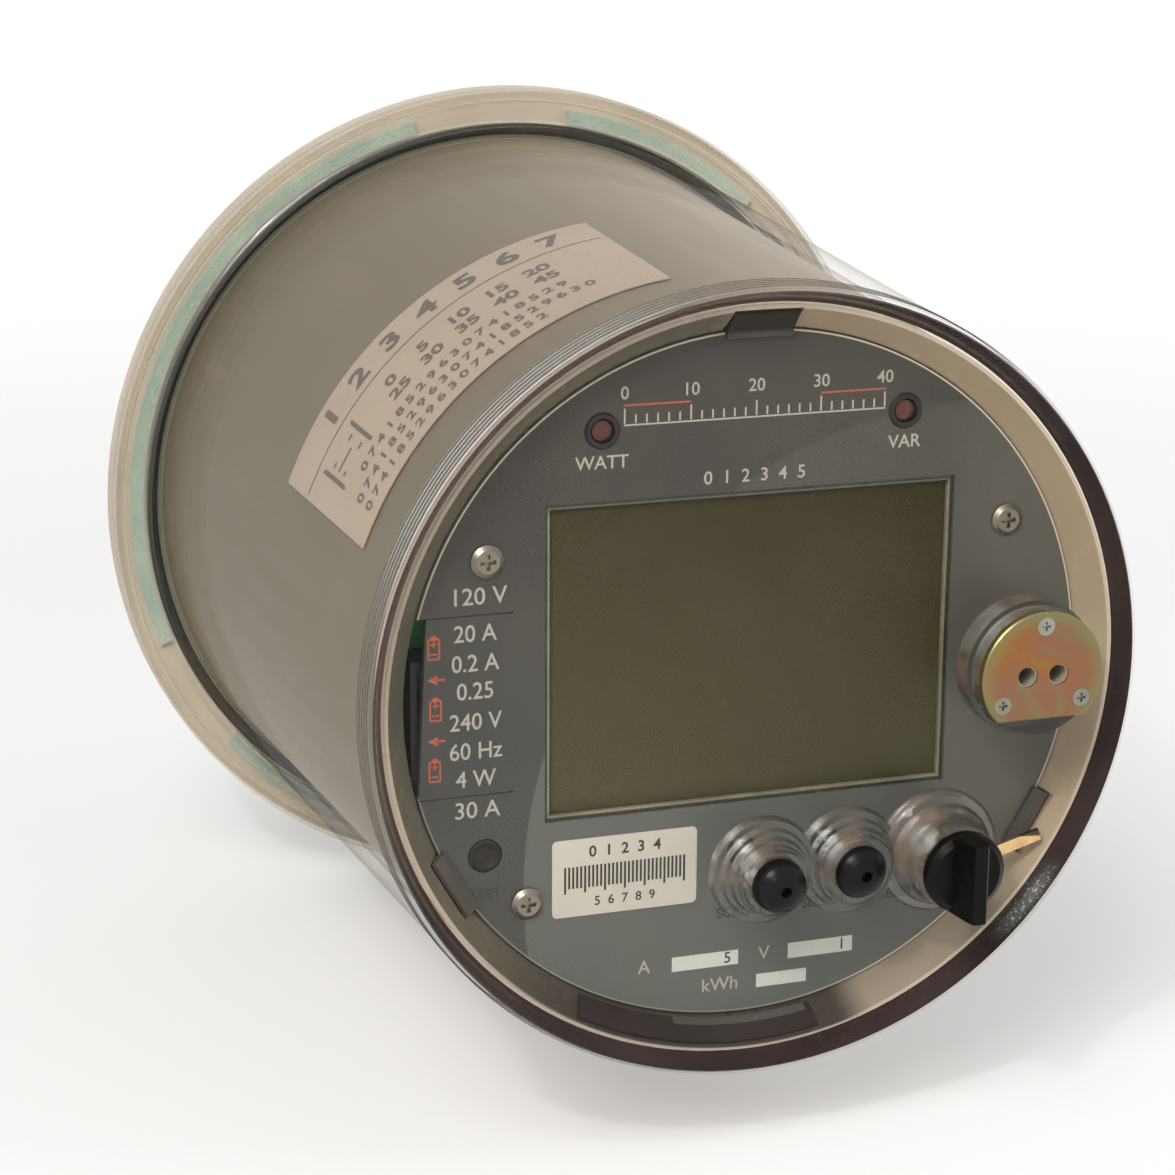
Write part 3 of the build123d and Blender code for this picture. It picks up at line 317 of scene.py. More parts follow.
def printed_face():
    """Matt printed film: dark sweep above and left, lighter sweep below and right, with painted
    shade to the upper right and a painted highlight along its edge.
    """
    s = Shader("printed_face")
    x, _, z = s.xyz()
    sweep_radius = 82.95 * MM
    inside = s.span(s.radius(40.9 * MM, -35.0 * MM), sweep_radius + 0.1 * MM,
                    sweep_radius - 0.1 * MM)
    # painted shade: the lighter sweep darkens towards the upper right, and painted light lifts it
    # again at its right end
    painted_light_slope = s.math("SUBTRACT", s.times(x, -0.35), z)
    light = s.fade(painted_light_slope, (72, 70, 64), (93, 94, 91), -0.05, 0.05)
    light = s.over(light, x, 32.0 * MM, 52.0 * MM, 0.7, (91, 88, 80))
    dark = s.fade(z, (66, 67, 65), (62, 59, 55), -0.04, 0.055)
    colour = s.mix(inside, dark, light)
    slow = s.noise(34.0)
    dust = s.noise(1100.0, 4.0, 0.7)
    colour = s.over(colour, slow, 0.35, 0.75, 0.12, (118, 112, 100))
    colour = s.over(colour, dust, 0.72, 0.8, 0.3, (160, 152, 136))
    # painted highlight: a pale line along the film's cut edge, weaker at the lower left
    edge_highlight = s.span(s.radius(), PRINT_EDGE, PRINT_EDGE + 0.15 * MM)
    edge_light = s.span(s.math("ADD", x, z), -0.07, -0.02, 0.25, 0.9)
    colour = s.mix(s.times(edge_highlight, edge_light), colour, (196, 190, 174))
    return s.finish(colour, s.span(slow, 0.3, 0.75, 0.44, 0.6),
                    s.bump(s.noise(2600.0, 3.0, 0.7), 0.05, 0.00005), 0.25)


def display_glass(box):
    """Blank reflective liquid-crystal panel: painted shade towards the upper right and along its
    edges, a painted shadow along its foot, and dust.
    """
    s = Shader("display_glass")
    x, _, z = s.xyz()
    edge_shade_width, foot_shadow_top = 4.0 * MM, box[0].z + 3.2 * MM
    depth = s.beyond(box, edge_shade_width)
    slow = s.noise(40.0, 3.0, 0.5)
    dust = s.noise(1000.0, 4.0, 0.7)
    # painted shade: darker towards the upper right
    painted_light_slope = s.math("ADD", s.times(x, 0.35), z)
    colour = s.mix(s.span(painted_light_slope, -0.035, 0.045, smooth=False), (79, 75, 53), (50, 45, 23))
    colour = s.over(colour, slow, 0.35, 0.7, 0.2, (70, 67, 46))
    # painted shade along the recessed panel's edges, and a painted shadow along its foot
    colour = s.over(colour, depth, 0.0, 1.6 * MM, 0.55, (48, 44, 28))
    foot = s.span(z, foot_shadow_top, foot_shadow_top + 3.8 * MM, 0.55, 0.0)
    colour = s.mix(foot, colour, (50, 46, 30))
    colour = s.over(colour, dust, 0.72, 0.82, 0.4, (140, 136, 110))
    rough = s.span(s.math("ADD", slow, dust), 0.7, 1.3, 0.2, 0.32)
    return s.finish(colour, rough, s.bump(slow, 0.03, 0.0004), 0.08)


def by_angle(s, straight, edge, power=5.0):
    """Share of reflection: straight where the face is seen square on, rising to edge."""
    facing = s.add("LayerWeight").outputs["Facing"]
    rise = s.math("POWER", facing, power)
    return s.math("MULTIPLY_ADD", rise, edge - straight, straight), facing


def fillet_shell():
    """Clear foot of the cover: faint tint, reflections, and darker where seen edge-on."""
    s = Shader("fillet_clear")
    share, facing = by_angle(s, 0.03, 0.3)
    tint = s.fade(facing, (0.98, 0.98, 0.97, 1), (0.8, 0.78, 0.74, 1), 0.9, 1.0)
    wear = s.noise(700.0, 3.0, 0.6, stretch=(1.0, 0.15, 1.0))
    return s.done(s.clear(share, tint, s.span(wear, 0.4, 0.8, 0.1, 0.16),
                          s.bump(s.noise(30.0, 3.0, 0.5), 0.03, 0.0004)))


def yellow_zinc():
    """Yellow chromate plating with its drifting orange, pink and green film colours."""
    s = Shader("yellow_zinc")
    drift = s.noise(46.0, 4.0, 0.62, distortion=1.4)
    grain = s.noise(520.0, 3.0, 0.7, stretch=(1.0, 1.0, 7.0))
    colour = s.ramp(s.math("ADD", drift, s.times(grain, 0.14)),
                    (0.28, (122, 126, 78)), (0.38, (140, 118, 60)), (0.47, (148, 110, 54)),
                    (0.56, (150, 100, 58)), (0.65, (142, 100, 76)), (0.74, (124, 120, 74)))
    rim = s.radius(port_x, port_z)
    colour = s.over(colour, rim, 8.6 * MM, 11.4 * MM, 0.65, (126, 130, 88))
    return s.finish(colour, s.span(grain, 0.3, 0.8, 0.3, 0.46), s.bump(grain, 0.08, 0.00006),
                    Metallic=0.75)


def dark_rim():
    """Glossy brown-black ring seen through the corner of the cover; it stands in for the dark that
    the clear corner shows by internal reflection, and carries painted glints.
    """
    s = Shader("dark_rim")
    slow = s.noise(42.0, 3.0, 0.55)
    streak = s.noise(900.0, 2.0, 0.6, stretch=(1.0, 0.12, 1.0))
    colour = s.fade(slow, (58, 45, 43), (44, 33, 34))
    colour = s.over(colour, streak, 0.62, 0.8, 0.35, (96, 82, 76))
    # painted glints: bright flecks in a band round the glint spot
    spot = s.span(s.radius(*GLINT_SPOT), 2.0 * MM, 11.0 * MM, 1.0, 0.0)
    band = s.span(s.apart(s.xyz()[1], ring_low.y + 1.8 * MM), 0.5 * MM, 1.6 * MM, 1.0, 0.2)
    glint = s.times(spot, band, s.span(s.noise(1700.0, 3.0, 0.75), 0.54, 0.66, 0.16, 0.95))
    colour = s.mix(glint, colour, (196, 208, 206))
    return s.finish(colour, s.span(streak, 0.3, 0.8, 0.12, 0.26), s.bump(streak, 0.1, 0.00008),
                    0.35, Coat_Weight=0.2, Coat_Roughness=0.06)


def ribbon():
    """Flat cable: grey conductors side by side with one red edge."""
    s = Shader("ribbon")
    x = s.xyz()[0]
    pitch = 1.27 * MM
    lane = s.math("SINE", s.times(x, 2 * math.pi / pitch))
    colour = s.fade(lane, (96, 96, 94), (150, 150, 146), -1.0, 1.0)
    colour = s.mix(s.span(x, -11.0 * MM, -10.6 * MM, 1.0, 0.0), colour, (150, 40, 36))
    return s.finish(colour, s.span(s.noise(300.0, 3.0, 0.55), 0.3, 0.7, 0.4, 0.55),
                    s.bump(lane, 0.6, 0.0003))


def banded(name, axis, stops, roughness):
    """Wrapped or sleeved part whose colour changes along one axis."""
    s = Shader(name)
    low, high = stops[0][0], stops[-1][0]
    share = s.span(s.xyz()[axis], low, high, smooth=False)
    places = [((p - low) / (high - low), colour) for p, colour in stops]
    slow = s.noise(120.0)
    colour = s.over(s.ramp(share, *places, ease="CONSTANT"), slow, 0.35, 0.75, 0.25, (60, 56, 50))
    return s.finish(colour, s.span(slow, 0.3, 0.7, roughness - 0.08, roughness + 0.1),
                    s.bump(s.noise(900.0, 2.0, 0.55), 0.1, 0.0001))


def paper(name, main, shade, roughness):
    """Printed label stock: fibre mottling, soft handling marks and a faint sheen."""
    s = Shader(name)
    fibre = s.noise(1300.0, 4.0, 0.7)
    colour = s.over(main, s.noise(48.0), 0.35, 0.75, 0.6, shade)
    colour = s.over(colour, fibre, 0.55, 0.8, 0.3, shade)
    return s.finish(colour, s.span(fibre, 0.3, 0.8, roughness - 0.08, roughness + 0.1),
                    s.bump(fibre, 0.12, 0.00006))


def ink(name, main, shade):
    """Screen-printed ink with slight thin spots."""
    s = Shader(name)
    thin = s.noise(1800.0, 3.0, 0.65)
    return s.finish(s.over(main, thin, 0.45, 0.75, 0.6, shade),
                    s.span(thin, 0.3, 0.7, 0.42, 0.58), s.bump(thin, 0.08, 0.00003))


def lamp_lens():
    """Dark red lamp lens with a moulded depth and a glossy dome."""
    s = Shader("lamp_lens")
    depth = s.noise(1500.0, 2.0, 0.5)
    colour = s.fade(depth, (86, 44, 38), (66, 30, 27), 0.3, 0.75)
    return s.finish(colour, s.span(depth, 0.3, 0.7, 0.2, 0.32), s.bump(depth, 0.05, 0.00005),
                    0.3, Coat_Weight=0.2, Coat_Roughness=0.05)


def cover_shell():
    """Clear cover: faint tint, pale highlight lines painted on its flange, fine ridges with painted
    shine and painted groove shade, and painted glints in front.
    """
    s = Shader("cover_clear")
    share, facing = by_angle(s, 0.006, 0.14)
    slow = s.noise(30.0, 3.0, 0.5)
    wear = s.noise(500.0, 3.0, 0.6, stretch=(1.0, 0.15, 1.0))
    tint = s.fade(facing, (0.988, 0.984, 0.974, 1), (0.8, 0.77, 0.72, 1), 0.9, 1.0)
    body = s.clear(share, tint, s.span(wear, 0.4, 0.8, 0.03, 0.09), s.bump(slow, 0.03, 0.0004))
    x, y, z = s.xyz()
    radius = s.radius()

    # painted highlights: pale lines along the clear flange's edges and bead
    flange_highlight = None
    for line, half, strength in ((85.75, 0.3, 0.5), (88.0, 0.28, 0.55), (81.2, 0.3, 0.3)):
        band = s.line(radius, line * MM, half * 0.4 * MM, half * 1.6 * MM, strength)
        flange_highlight = band if flange_highlight is None else s.math("MAXIMUM", flange_highlight, band)
    flange_front = -8.5 * MM
    flange_highlight = s.times(flange_highlight, s.span(y, flange_front, flange_front + 1.0 * MM),
                   s.span(slow, 0.3, 0.7, 0.6, 1.0))
    highlight_pale = s.principled(Base_Color=(214, 208, 194), Roughness=0.4)
    body = s.shader_mix(flange_highlight, body, highlight_pale)

    ridge_pitch, ridge_rear = 1.3 * MM, -155.2 * MM
    ridge = s.times(s.span(y, ridge_rear, ridge_rear + 0.2 * MM, 1.0, 0.0),
                    s.span(y, corner_rear, corner_rear + 0.2 * MM),
                    s.span(radius, ring_outer - 0.2 * MM, ring_outer))
    wave = s.math("SINE", s.times(s.math("ADD", y, 0.2 * MM - ridge_rear),
                                  2 * math.pi / ridge_pitch))
    # painted reflection on the ridge crests, strongest at the upper left: silver to the left, warm
    # elsewhere
    painted_light_lean = s.math("DIVIDE", s.weighed(x, -0.866, z, 0.5), radius)
    upper = s.math("DIVIDE", s.weighed(x, -0.669, z, 0.743), radius)
    painted_bright = s.times(ridge, s.span(wave, 0.0, 0.7), s.span(upper, 0.78, 0.99, 0.06, 0.75))
    # painted glints on the front corner near the glint spot
    corner = s.times(s.span(y, corner_rear, corner_rear + 0.2 * MM, 1.0, 0.0),
                     s.span(radius, ring_outer - 1.0 * MM, ring_outer - 0.7 * MM))
    spot = s.span(s.radius(*GLINT_SPOT), 2.0 * MM, 11.0 * MM, 0.9, 0.0)
    glint = s.times(corner, spot, s.span(s.noise(1500.0, 3.0, 0.75), 0.58, 0.7, 0.22, 1.0))
    shine_colour = s.mix(s.math("MAXIMUM", s.span(painted_light_lean, 0.4, 0.75), glint), (0.44, 0.32, 0.23, 1),
                  (0.74, 0.79, 0.8, 1))
    painted_shine = s.principled(Base_Color=shine_colour, Metallic=0.7, Roughness=0.22)
    body = s.shader_mix(s.math("MAXIMUM", painted_bright, glint), body, painted_shine)
    # painted shade in the ridges' grooves, strongest to the left
    dark = s.times(ridge, s.span(wave, -0.8, -0.3, 0.5, 0.0), s.span(painted_light_lean, -0.4, 0.2, 0.3, 1.0))
    groove_shade = s.principled(Base_Color=(56, 46, 48), Roughness=0.3)
    return s.done(s.shader_mix(dark, body, groove_shade))


def base_plastic():
    """Beige base: slow mottling, darker and greener inside the seal by painted shade and a painted
    teal reflection, with a dark joint at the housing.
    """
    s = Shader("base_beige")
    radius = s.radius()
    slow = s.noise(26.0)
    specks = s.noise(420.0, 4.0, 0.7)
    colour = s.fade(slow, (200, 188, 168), (184, 171, 151), 0.3, 0.72)
    # painted shade and reflection: inside the seal, under the cover's wall, the base is darker and
    # greener
    inside = s.fade(slow, (152, 151, 134), (140, 138, 121), 0.3, 0.72)
    front = s.span(s.xyz()[1], -3.0 * MM, -2.0 * MM, 1.0, 0.0)
    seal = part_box("cover_seal_ring")[1].x
    seal_shade_zone = s.times(s.span(radius, seal - 0.8 * MM, seal - 0.4 * MM, 1.0, 0.0), front)
    colour = s.mix(seal_shade_zone, colour, inside)
    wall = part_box("inner_housing")[1].x
    joint = s.line(radius, wall + 0.5 * MM, 0.25 * MM, 0.5 * MM, 0.6)
    colour = s.mix(s.times(joint, front), colour, (84, 80, 70))
    colour = s.over(colour, specks, 0.64, 0.78, 0.2, (160, 146, 124))
    return s.finish(colour, s.span(slow, 0.3, 0.75, 0.42, 0.55), s.bump(specks, 0.05, 0.0001), 0.3)


def housing_plastic():
    """Taupe housing: matt, with faint drawn streaks, and painted light and shade: paler to the right
    and upper right, darker to the left.
    """
    s = Shader("housing_taupe")
    x, _, z = s.xyz()
    # painted light and shade by direction round the axis
    painted_light_lean = s.math("DIVIDE", s.weighed(x, -0.866, z, 0.5), s.radius())
    colour = s.ramp(painted_light_lean, (0.15, (164, 150, 135)), (0.62, (122, 112, 97)), (1.0, (104, 96, 82)))
    slow = s.noise(24.0)
    streaks = s.noise(160.0, 3.0, 0.6, stretch=(1.0, 0.12, 1.0))
    colour = s.over(colour, slow, 0.35, 0.72, 0.3, (116, 110, 94))
    colour = s.over(colour, streaks, 0.5, 0.75, 0.2, (146, 134, 118))
    return s.finish(colour, s.span(streaks, 0.3, 0.75, 0.5, 0.64), s.bump(slow, 0.03, 0.0004),
                    0.15)


def chassis_plastic():
    """Brown-black moulding; its low hooks are paler and its roots match the face plate."""
    s = Shader("chassis_dark")
    slow = s.noise(60.0)
    high = s.fade(slow, (50, 41, 36), (36, 30, 27))
    low = s.fade(slow, (80, 72, 64), (66, 59, 52))
    colour = s.fade(s.xyz()[2], low, high, 0.0, 20.0 * MM)
    root = s.span(s.radius(), PRINT_EDGE + 0.1 * MM, PRINT_EDGE + 0.3 * MM, 1.0, 0.0)
    colour = s.mix(root, colour, (64, 62, 58))
    return s.finish(colour, s.span(slow, 0.3, 0.7, 0.24, 0.36), s.bump(slow, 0.05, 0.0003), 0.25)


def turret_shell():
    """Clear button cups and port boss: painted highlights and warm painted reflections towards the
    upper left, darker elsewhere and on the boss.
    """
    s = Shader("turret_clear")
    share, facing = by_angle(s, 0.03, 0.95, 2.2)
    normal_x, _, normal_z = s.xyz(s.add("NewGeometry").outputs["Normal"])
    # painted light: reflection share, warm patches and silver streaks follow how far a face turns to
    # the upper left
    painted_light_lean = s.weighed(normal_x, -0.75, normal_z, 0.66)
    share = s.times(share, s.span(painted_light_lean, -0.35, 0.7, 0.45, 1.0))
    boss = s.span(s.radius(port_x, port_z), 12.8 * MM, 13.4 * MM, 1.0, 0.0)
    tint = s.fade(facing, (0.95, 0.95, 0.945, 1), (0.34, 0.31, 0.29, 1), 0.2, 0.8)
    tint = s.mix(s.times(boss, 0.6), tint, (0.5, 0.49, 0.47, 1))
    slow = s.noise(60.0, 3.0, 0.5)
    body = s.clear(share, tint, s.span(slow, 0.3, 0.8, 0.02, 0.1), s.bump(slow, 0.02, 0.0004))
    warm_reflection = s.principled(Base_Color=(150, 128, 112), Roughness=0.35)
    reflection_patches = s.times(s.span(painted_light_lean, 0.3, 0.85, 0.0, 0.4), s.span(slow, 0.4, 0.6))
    body = s.shader_mix(reflection_patches, body, warm_reflection)
    painted_shine = s.principled(Base_Color=(0.86, 0.87, 0.87, 1), Metallic=0.9, Roughness=0.25)
    return s.done(s.shader_mix(s.span(painted_light_lean, 0.86, 0.97, 0.0, 0.85), body, painted_shine))


def bezel_plastic():
    """Glossy cream ring with painted light and shade: lit cream to the right, olive to the left and
    brown at the foot, and a pale lip painted as a highlight.
    """
    s = Shader("bezel_cream")
    x, y, z = s.xyz()
    radius = s.radius()
    front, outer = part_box("bezel_ring")[0].y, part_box("bezel_ring")[1].x
    # painted shade: lit and shaded copies of the cream, the shaded one to the left, both darker
    # towards the foot
    left = s.span(s.math("DIVIDE", s.weighed(x, -0.98, z, -0.199), radius), -0.17, -0.05)
    slow = s.noise(26.0)
    painted_bright = s.fade(slow, (172, 154, 129), (160, 142, 118), 0.3, 0.72)
    painted_bright = s.mix(s.span(z, -60.0 * MM, -25.0 * MM, 1.0, 0.0), painted_bright, (146, 134, 117))
    painted_dim = s.fade(slow, (104, 98, 84), (92, 87, 75), 0.3, 0.72)
    painted_dim = s.mix(s.span(z, -62.0 * MM, -34.0 * MM, 1.0, 0.0), painted_dim, (62, 54, 49))
    colour = s.mix(left, painted_bright, painted_dim)
    low = s.times(left, s.span(z, -62.0 * MM, -40.0 * MM, 1.0, 0.0))
    # painted highlight: a pale lip, narrower at the lower left, in lit and shaded copies to right
    # and left
    lip_width = s.math("MAXIMUM", s.span(radius, outer - 0.58 * MM, outer - 0.42 * MM),
                       s.math("SUBTRACT", 1.0, low))
    lip = s.times(s.span(radius, outer - 0.9 * MM, outer - 0.7 * MM), 0.85, lip_width)
    colour = s.mix(lip, colour, s.mix(left, (204, 189, 166), (184, 168, 146)))
    side = s.times(s.span(radius, outer - 0.3 * MM, outer - 0.15 * MM),
                   s.span(y, front + 0.2 * MM, front + 0.4 * MM))
    joint = s.line(y, front + 3.6 * MM, 0.2 * MM, 0.45 * MM, 0.7)
    colour = s.mix(side, colour, s.mix(joint, (176, 152, 128), (76, 58, 52)))
    colour = s.over(colour, s.noise(900.0, 4.0, 0.7), 0.6, 0.8, 0.12, (120, 108, 92))
    return s.finish(colour, s.span(slow, 0.3, 0.75, 0.24, 0.34), s.bump(slow, 0.05, 0.0005), 0.35)


def frame_plastic(box):
    """Display frame: a painted highlight as a thin pale line at its inner edge, dimmed near the top,
    and a dark outer half of painted shadow.
    """
    s = Shader("frame_olive")
    top = box[1].z
    depth = s.beyond(box)
    slow = s.noise(120.0)
    # painted highlight on the inner edge, dimmed near the top by painted shade
    highlight_pale = s.fade(slow, (136, 132, 106), (112, 108, 86))
    highlight_pale = s.over(highlight_pale, s.xyz()[2], top - 2.5 * MM, top - 1.0 * MM, 0.75, (70, 66, 54))
    # painted shadow on the outer half
    dark = s.fade(slow, (54, 52, 43), (44, 42, 36))
    return s.finish(s.fade(depth, highlight_pale, dark, -0.56 * MM, -0.5 * MM),
                    s.span(slow, 0.3, 0.7, 0.26, 0.38), s.bump(slow, 0.05, 0.0002))


def lever_brass(lever, knob):
    """Brass strip with painted reflections: dark over its upper part and bright along its lower
    edge.
    """
    s = Shader("lever_brass")
    x, _, z = s.xyz()
    low, high = knob
    hub_x, hub_z = (low.x + high.x) / 2, (low.z + high.z) / 2
    reach = max(v.co.x for v in lever.data.vertices)
    tip = [v.co.z for v in lever.data.vertices if v.co.x > reach - 1.0 * MM]
    slope = math.atan2((min(tip) + max(tip)) / 2 - hub_z, reach - hub_x)
    off = s.math("SUBTRACT", s.times(s.math("SUBTRACT", z, hub_z), math.cos(slope)),
                 s.times(s.math("SUBTRACT", x, hub_x), math.sin(slope)))
    brushed = s.noise(260.0, 3.0, 0.6)
    # painted reflection: bright brass below a line just under the strip's middle, dark above it
    painted_bright = s.fade(brushed, (0.86, 0.6, 0.32, 1), (0.7, 0.45, 0.22, 1))
    dull = s.fade(brushed, (0.1, 0.065, 0.04, 1), (0.07, 0.045, 0.028, 1))
    colour = s.mix(s.span(off, -0.4 * MM, -0.1 * MM, 1.0, 0.0), dull, painted_bright)
    return s.finish(colour, s.span(brushed, 0.3, 0.8, 0.22, 0.34),
                    s.bump(brushed, 0.05, 0.0001), Metallic=1.0)


def plunger_plastic(box):
    """Black button cap on a paler natural stem that shows through the clear cup."""
    s = Shader("plunger_plastic")
    slow = s.noise(90.0)
    cap = s.fade(slow, (20, 18, 16), (13, 12, 11))
    stem = s.fade(slow, (128, 118, 106), (104, 96, 88))
    cap_rear = box[1].y - 9.0 * MM
    colour = s.fade(s.xyz()[1], cap, stem, cap_rear, cap_rear + 0.6 * MM)
    return s.finish(colour, s.span(slow, 0.3, 0.7, 0.26, 0.38), s.bump(slow, 0.04, 0.0002), 0.15)


# ------------------------------------------------------------ materials by node

port_low, port_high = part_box("port_plate")
port_flat = 11.65 * MM    # from the top of the port plate to its centre
port_x, port_z = (port_low.x + port_high.x) / 2, port_high.z - port_flat

print_film = printed_face()
lens_dark = moulded("port_lens", (168, 162, 142), (138, 132, 112), 0.14, 0.02, coat=0.5)

cap_low, cap_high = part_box("supply_capacitors")
coil_low, coil_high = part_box("supply_transformer")
cell_low, cell_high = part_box("battery")
foil, tape_grey = (168, 166, 160), (70, 68, 66)

finishes = (
    (base_plastic(), "base_plate"),
    (plated("tinned", (0.62, 0.61, 0.58, 1), (0.46, 0.45, 0.42, 1), 0.3, (1.0, 1.0, 9.0)),
     "line_blades", "load_blades", "potential_blades"),
    (moulded("lead_red", (140, 42, 36), (110, 32, 28), 0.4, 0.1), "potential_leads"),
    (plated("copper", (0.72, 0.37, 0.22, 1), (0.5, 0.25, 0.14, 1), 0.32),
     "busbar_left", "busbar_centre", "busbar_right"),
    (moulded("core_case", (44, 46, 50), (30, 31, 34), 0.4, 0.16),
     "current_transformer_left", "current_transformer_centre", "current_transformer_right"),
    (foam("teal_foam", (176, 190, 174), (158, 175, 162)),
     "gasket_left", "gasket_upper_right", "gasket_lower_left", "gasket_lower_right"),
    (rubber("black_rubber", (24, 23, 22), (34, 33, 31)), "cover_seal_ring"),
    (housing_plastic(), "inner_housing"),
    (paper("label_cream", (160, 142, 122), (149, 132, 112), 0.42), "housing_label"),
    (paper("label_white", (192, 187, 176), (179, 174, 162), 0.38), "serial_label"),
    (bezel_plastic(), "bezel_ring"),
    (moulded("shield_film", (50, 42, 39), (40, 34, 32), 0.2, 0.02, coat=0.12,
             shine=0.2), "lower_shield"),
    (moulded("strip_film", (78, 76, 72), (62, 60, 56), 0.25, 0.03, coat=0.2,
             shine=0.3), "shield_strip"),
    (chassis_plastic(), "chassis_frame"),
    (moulded("post_nylon", (196, 192, 180), (176, 171, 158), 0.45, 0.1),
     "lower_posts", "middle_posts", "upper_posts"),
    (circuit("green_board", (26, 92, 50), (150, 118, 62)),
     "power_board", "measuring_board", "display_board"),
    (banded("winding_tape", 0, [
        (coil_low.x, tape_grey), (coil_low.x + 6 * MM, (176, 140, 60)),
        (coil_high.x - 6 * MM, tape_grey), (coil_high.x, tape_grey)], 0.42),
     "supply_transformer"),
    (banded("capacitor_sleeve", 1, [
        (cap_low.y, (170, 170, 168)), (cap_low.y + 0.8 * MM, (28, 36, 70)),
        (cap_high.y, (28, 36, 70))], 0.34), "supply_capacitors"),
    (banded("battery_wrap", 2, [
        (cell_low.z, foil), (cell_low.z + 2 * MM, (40, 62, 54)),
        (cell_high.z - 5 * MM, (150, 146, 132)), (cell_high.z - 2.4 * MM, foil),
        (cell_high.z, foil)], 0.34), "battery"),
    (moulded("chip_black", (36, 36, 37), (24, 24, 25), 0.5, 0.2, 3000.0), "processor_chip"),
    (ribbon(), "ribbon_cable"),
    (moulded("holder_black", (38, 37, 36), (26, 25, 24), 0.42, 0.14),
     "key_switches", "battery_holder"),
    (moulded("diffuser_white", (206, 204, 192), (186, 184, 172), 0.36, 0.06), "lcd_backlight"),
    (display_glass(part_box("lcd_glass")), "lcd_glass"),
    (frame_plastic(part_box("lcd_frame")), "lcd_frame"),
    (print_film, "faceplate", "battery_flap"),
    (plated("zinc_screw", (0.27, 0.25, 0.2, 1), (0.19, 0.17, 0.13, 1), 0.36, (9.0, 1.0, 1.0)),
     "faceplate_screws"),
    (plated("port_screw", (0.4, 0.38, 0.31, 1), (0.26, 0.25, 0.2, 1), 0.34, (9.0, 1.0, 1.0)),
     "port_screws"),
    (moulded("collar_dark", (38, 33, 30), (28, 24, 22), 0.36, 0.06, 2400.0,
             shine=0.3), "led_collars"),
    (lamp_lens(), "led_lenses"),
    (moulded("key_dark", (36, 31, 28), (27, 23, 21), 0.4, 0.06, 2400.0, shine=0.3),
     "test_button", "scroll_key", "select_key"),
    (cover_shell(), "cover"),
    (turret_shell(), "cover_turrets"),
    (dark_rim(), "rim_ring"),
    (yellow_zinc(), "port_plate"),
    (lens_dark, "port_windows"),
    (plunger_plastic(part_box("scroll_plunger")), "scroll_plunger", "select_plunger", "reset_shaft"),
    (plated("spring_steel", (0.5, 0.5, 0.49, 1), (0.36, 0.35, 0.33, 1), 0.24),
     "scroll_spring", "select_spring"),
    (moulded("knob_black", (15, 12, 10), (9, 8, 6), 0.28, 0.03, 2400.0, shine=0.12), "reset_knob"),
    (lever_brass(nodes["reset_lever"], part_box("reset_knob")), "reset_lever"),
)
finish_of = {name: finish for finish, *names in finishes for name in names}
for name, node in nodes.items():
    node.data.materials.clear()
    node.data.materials.append(finish_of[name])


# ------------------------------------------------------------------- own pieces

def new_piece(name, points, faces, material):
    """Object from points in metres and faces."""
    mesh = bpy.data.meshes.new(name)
    mesh.from_pydata(points, [], faces)
    mesh.validate()
    mesh.update()
    mesh.materials.append(material)
    piece = bpy.data.objects.new(name, mesh)
    scene.collection.objects.link(piece)
    return piece


def own_copy(node, name):
    """Object with a copy of a node's mesh, in the same place."""
    piece = bpy.data.objects.new(name, nodes[node].data.copy())
    scene.collection.objects.link(piece)
    return piece


def joined(shapes):
    """Several (points, faces) as one."""
    points, faces = [], []
    for shape_points, shape_faces in shapes:
        start = len(points)
        points += shape_points
        faces += [tuple(start + i for i in face) for face in shape_faces]
    return points, faces


def turned(profile, sides, x=0.0, z=0.0):
    """Closed ring of (radius, depth) points in metres about an axis along Y."""
    points, faces = [], []
    count = len(profile)
    for index in range(sides):
        turn = 2 * math.pi * index / sides
        points += [(x + radius * math.cos(turn), depth, z + radius * math.sin(turn))
                   for radius, depth in profile]
        here, there = index * count, (index + 1) % sides * count
        for step in range(count):
            after = (step + 1) % count
            faces.append((here + step, here + after, there + after, there + step))
    return points, faces


def drop_faces(piece, unwanted):
    """Deletes the faces whose centre answers to unwanted."""
    mesh = bmesh.new()
    mesh.from_mesh(piece.data)
    gone = [face for face in mesh.faces if unwanted(face.calc_center_median())]
    bmesh.ops.delete(mesh, geom=gone, context="FACES")
    mesh.to_mesh(piece.data)
    mesh.free()


def shade_smooth(mesh, sharpest):
    """Smooth shading, with edges kept sharp above an angle in degrees."""
    for polygon in mesh.polygons:
        polygon.use_smooth = True
    mesh.set_sharp_from_angle(angle=math.radians(sharpest))


def rounded(piece, width):
    """Rounds the sharp edges of a piece with narrow bevels, which catch the light."""
    sharpest = 38
    normals = piece.data.attributes.get("custom_normal")
    if normals:
        piece.data.attributes.remove(normals)
    mesh = bmesh.new()
    mesh.from_mesh(piece.data)
    bmesh.ops.remove_doubles(mesh, verts=mesh.verts, dist=0.002 * MM)
    bmesh.ops.dissolve_limit(mesh, angle_limit=math.radians(1.0), verts=mesh.verts,
                             edges=mesh.edges)
    limit = math.radians(sharpest)
    edges = [e for e in mesh.edges if e.is_manifold and e.calc_face_angle(0.0) > limit]
    bmesh.ops.bevel(mesh, geom=edges, offset=width, segments=4, profile=0.5, affect="EDGES",
                    clamp_overlap=True)
    bmesh.ops.triangulate(mesh, faces=[f for f in mesh.faces if len(f.verts) > 4])
    # the operators leave the faces in an order that can differ from run to run
    mesh.verts.index_update()
    ranked = sorted(mesh.faces, key=lambda face: sorted(v.index for v in face.verts))
    for rank, face in enumerate(ranked):
        face.index = rank
    mesh.faces.sort()
    mesh.to_mesh(piece.data)
    mesh.free()
    shade_smooth(piece.data, sharpest)


